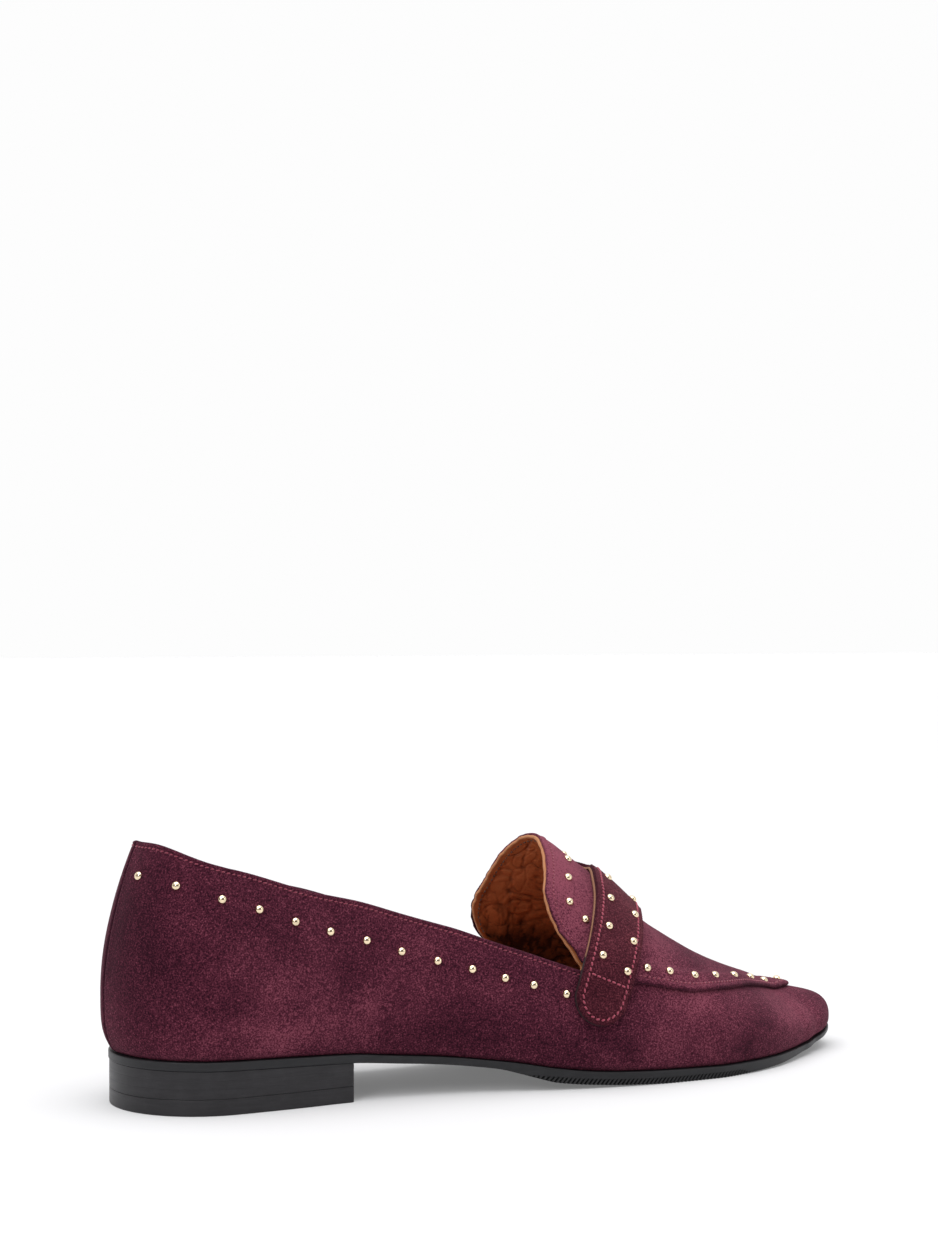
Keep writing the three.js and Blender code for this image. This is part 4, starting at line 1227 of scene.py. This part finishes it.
def stitch_topline():
    grids = []
    for side in BOTH_SIDES:
        paths = np.linspace(BACK + 1.2, THROAT + 2.5, 260)
        line = surface(side, paths, below_rim(side, paths, STITCH_BELOW_EDGE), 0)
        grids += stitch_grids("wall", line, 1.7, 1.3, 0.24, 0.3)
    solid("topline_stitches", grids, QUIET_THREAD_FINISH, "upper_suede")


def stitch_apron():
    paths = np.linspace(157, TIP, 200)
    lateral, medial = (
        surface(side, paths, below_rim(side, paths, -STITCH_INSIDE_SEAM), LAP_RISE)
        for side in BOTH_SIDES
    )
    line = np.concatenate([lateral, medial[::-1][1:]])
    grids = stitch_grids("apron", line, 1.8, 1.4, 0.25, 0.3)
    solid("apron_stitches", grids, QUIET_THREAD_FINISH, "upper_suede")


def stitch_strap():
    """Both edges, the rounded ends and the line that closes the box at each end."""
    inset = 2.0
    turn = np.linspace(math.pi / 2, 0, 24)
    end = STRAP_END + 0.02 + (STRAP_ROUNDING - 0.02) * (1 - np.sin(turn))
    straight = np.linspace(STRAP_END + STRAP_ROUNDING, 2, 120)
    share = np.linspace(-1, 1, 30)
    box = np.interp(share, (-1, 1), BOX_LEVELS)
    grids = []

    def line(side, levels, across, more=0.0):
        path = STRAP_MIDDLE(levels) + across * (STRAP_HALF(levels) - inset - more)
        return surface(side, path, levels, STRAP_RISE(levels) + 2.3)

    def sew(points, slant):
        grids.extend(stitch_grids("strap", points, 1.8, 1.5, 0.31, slant))

    for side in BOTH_SIDES:
        for edge in (-1, 1):
            sew(line(side, straight, edge), 0.38)
        rear, front = (line(side, end, edge * np.cos(turn)) for edge in (-1, 1))
        sew(np.concatenate([rear[::-1], front[1:]]), 0.38)
        sew(line(side, box, share, 0.6), 0.0)
    solid("strap_stitches", grids, THREAD_FINISH, "strap_suede")


def stitch_tongue(name, host, inset, rise, finish, slot):
    share = np.linspace(0.06, 1, 200)
    grids = []
    for side in BOTH_SIDES:
        path = TONGUE_EDGE(side, share) + inset
        line = surface(side, path, level_at(side, path, share), rise)
        grids += stitch_grids(host, line, 1.6)
    solid(name, grids, finish, slot)


def make_stitches():
    stitch_topline()
    stitch_apron()
    stitch_strap()
    stitch_tongue("tongue_stitches", "apron", 2.4, 0, QUIET_THREAD_FINISH, "upper_suede")
    stitch_tongue(
        "tongue_lining_stitches", "vamp_lining_leather", 1.9, -2.4, BROWN_THREAD_FINISH,
        "lining_leather",
    )


# ---------------- hidden pieces keep their CAD shape
def finish_hidden():
    finishes = {
        "insole_board": BOARD_FINISH, "shank": STEEL_FINISH, "bottom_filler": CORK_FINISH,
        "heel_counter": STIFF_FINISH, "toe_puff": STIFF_FINISH,
    }
    for name, one in finishes.items():
        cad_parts[name].data.materials.clear()
        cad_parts[name].data.materials.append(one)


# ---------------- camera, light and floor
CAMERA_PLACE = (-0.243498, -0.694759, 0.142715)
CAMERA_TURNS = (-25.486, 90.396, -0.17)  # yaw, tilt and roll in degrees
WHITE = 0.982  # the sweep behind the shoe
ROOM_LIGHT = 0.18  # the room behind the camera
SWEEP_WAY = (math.sin(math.radians(25.5)), math.cos(math.radians(25.5)))
FLOOR_HALF = 20.0
FLOOR_GLOW = 0.16  # lifts the shadows, as paper lit from all round does


def add_camera():
    data = bpy.data.cameras.new("camera")
    data.lens = 67.06
    data.sensor_fit = "VERTICAL"
    data.sensor_height = 36
    camera = place_object("camera", data)
    turns = zip(CAMERA_TURNS, "ZXZ")
    yaw, tilt, roll = (Matrix.Rotation(math.radians(angle), 4, axis) for angle, axis in turns)
    camera.matrix_world = Matrix.Translation(CAMERA_PLACE) @ yaw @ tilt @ roll
    bpy.context.scene.camera = camera


def add_light(name, place, target, size, power):
    data = bpy.data.lights.new(name, "AREA")
    data.shape = "RECTANGLE"
    data.size, data.size_y = size
    data.energy = power
    light = place_object(name, data)
    light.location = place
    aim = Vector(target) - Vector(place)
    light.rotation_mode = "QUATERNION"
    light.rotation_quaternion = aim.to_track_quat("-Z", "Y")


def add_world():
    """White sweep ahead of the camera and overhead, dimmer room behind it."""
    scene = bpy.context.scene
    scene.view_settings.view_transform = "Standard"
    world = bpy.data.worlds.new("studio")
    world.use_nodes = True
    scene.world = world
    tree = world.node_tree
    way = node(tree, "TexCoord").outputs["Generated"]
    ahead = node(tree, "VectorMath", {0: way, 1: (*SWEEP_WAY, 0.25)}, operation="DOT_PRODUCT")
    share = calc(tree, "MULTIPLY", calc(tree, "ADD", ahead.outputs["Value"], 1.0), 0.5)
    room, white = (ROOM_LIGHT,) * 3, (WHITE,) * 3
    glow = ramp(tree, share, [(0.2, room), (0.8, white)])
    tree.links.new(glow, tree.nodes["Background"].inputs["Color"])


def add_floor():
    mesh = bpy.data.meshes.new("floor")
    corners = [(x * FLOOR_HALF, y * FLOOR_HALF, 0) for x, y in ((-1, -1), (1, -1), (1, 1), (-1, 1))]
    mesh.from_pydata(corners, [], [(0, 1, 2, 3)])
    made, _, _ = finish("pale_floor", {
        "Base Color": (0.58, 0.58, 0.59, 1), "Roughness": 0.95, "Specular IOR Level": 0.0,
        "Emission Color": (1, 1, 1, 1), "Emission Strength": FLOOR_GLOW,
    })
    mesh.materials.append(made)
    place_object("floor", mesh)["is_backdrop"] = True


def add_overhead(power):
    """A very wide, soft light from above, the same all over the floor."""
    data = bpy.data.lights.new("overhead", "SUN")
    data.energy = power
    data.angle = math.radians(70)
    light = place_object("overhead", data)
    light.rotation_euler = (math.radians(8), math.radians(-6), 0)


def add_studio():
    add_world()
    middle = (0.1, 0, 0.04)
    add_overhead(2.6)
    add_light("key", (-0.7, -0.7, 0.6), middle, (0.35, 0.35), 2.5)
    add_light("fill", (0.8, -0.7, 0.4), middle, (0.3, 0.5), 1.0)
    add_floor()


add_camera()
add_studio()
make_wall()
make_apron()
make_strap()
make_quarter_lining(LATERAL, "lateral_quarter_lining", "quarter_lining_lateral")
make_quarter_lining(MEDIAL, "medial_quarter_lining", "quarter_lining_medial")
make_vamp_lining()
make_outsole()
make_heel()
make_sock()
make_studs()
make_stitches()
finish_hidden()

VISUAL_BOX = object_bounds()
sizes = {"cad": CAD_BOX, "visual": VISUAL_BOX}
{key: [list(corner) for corner in box] for key, box in sizes.items()}
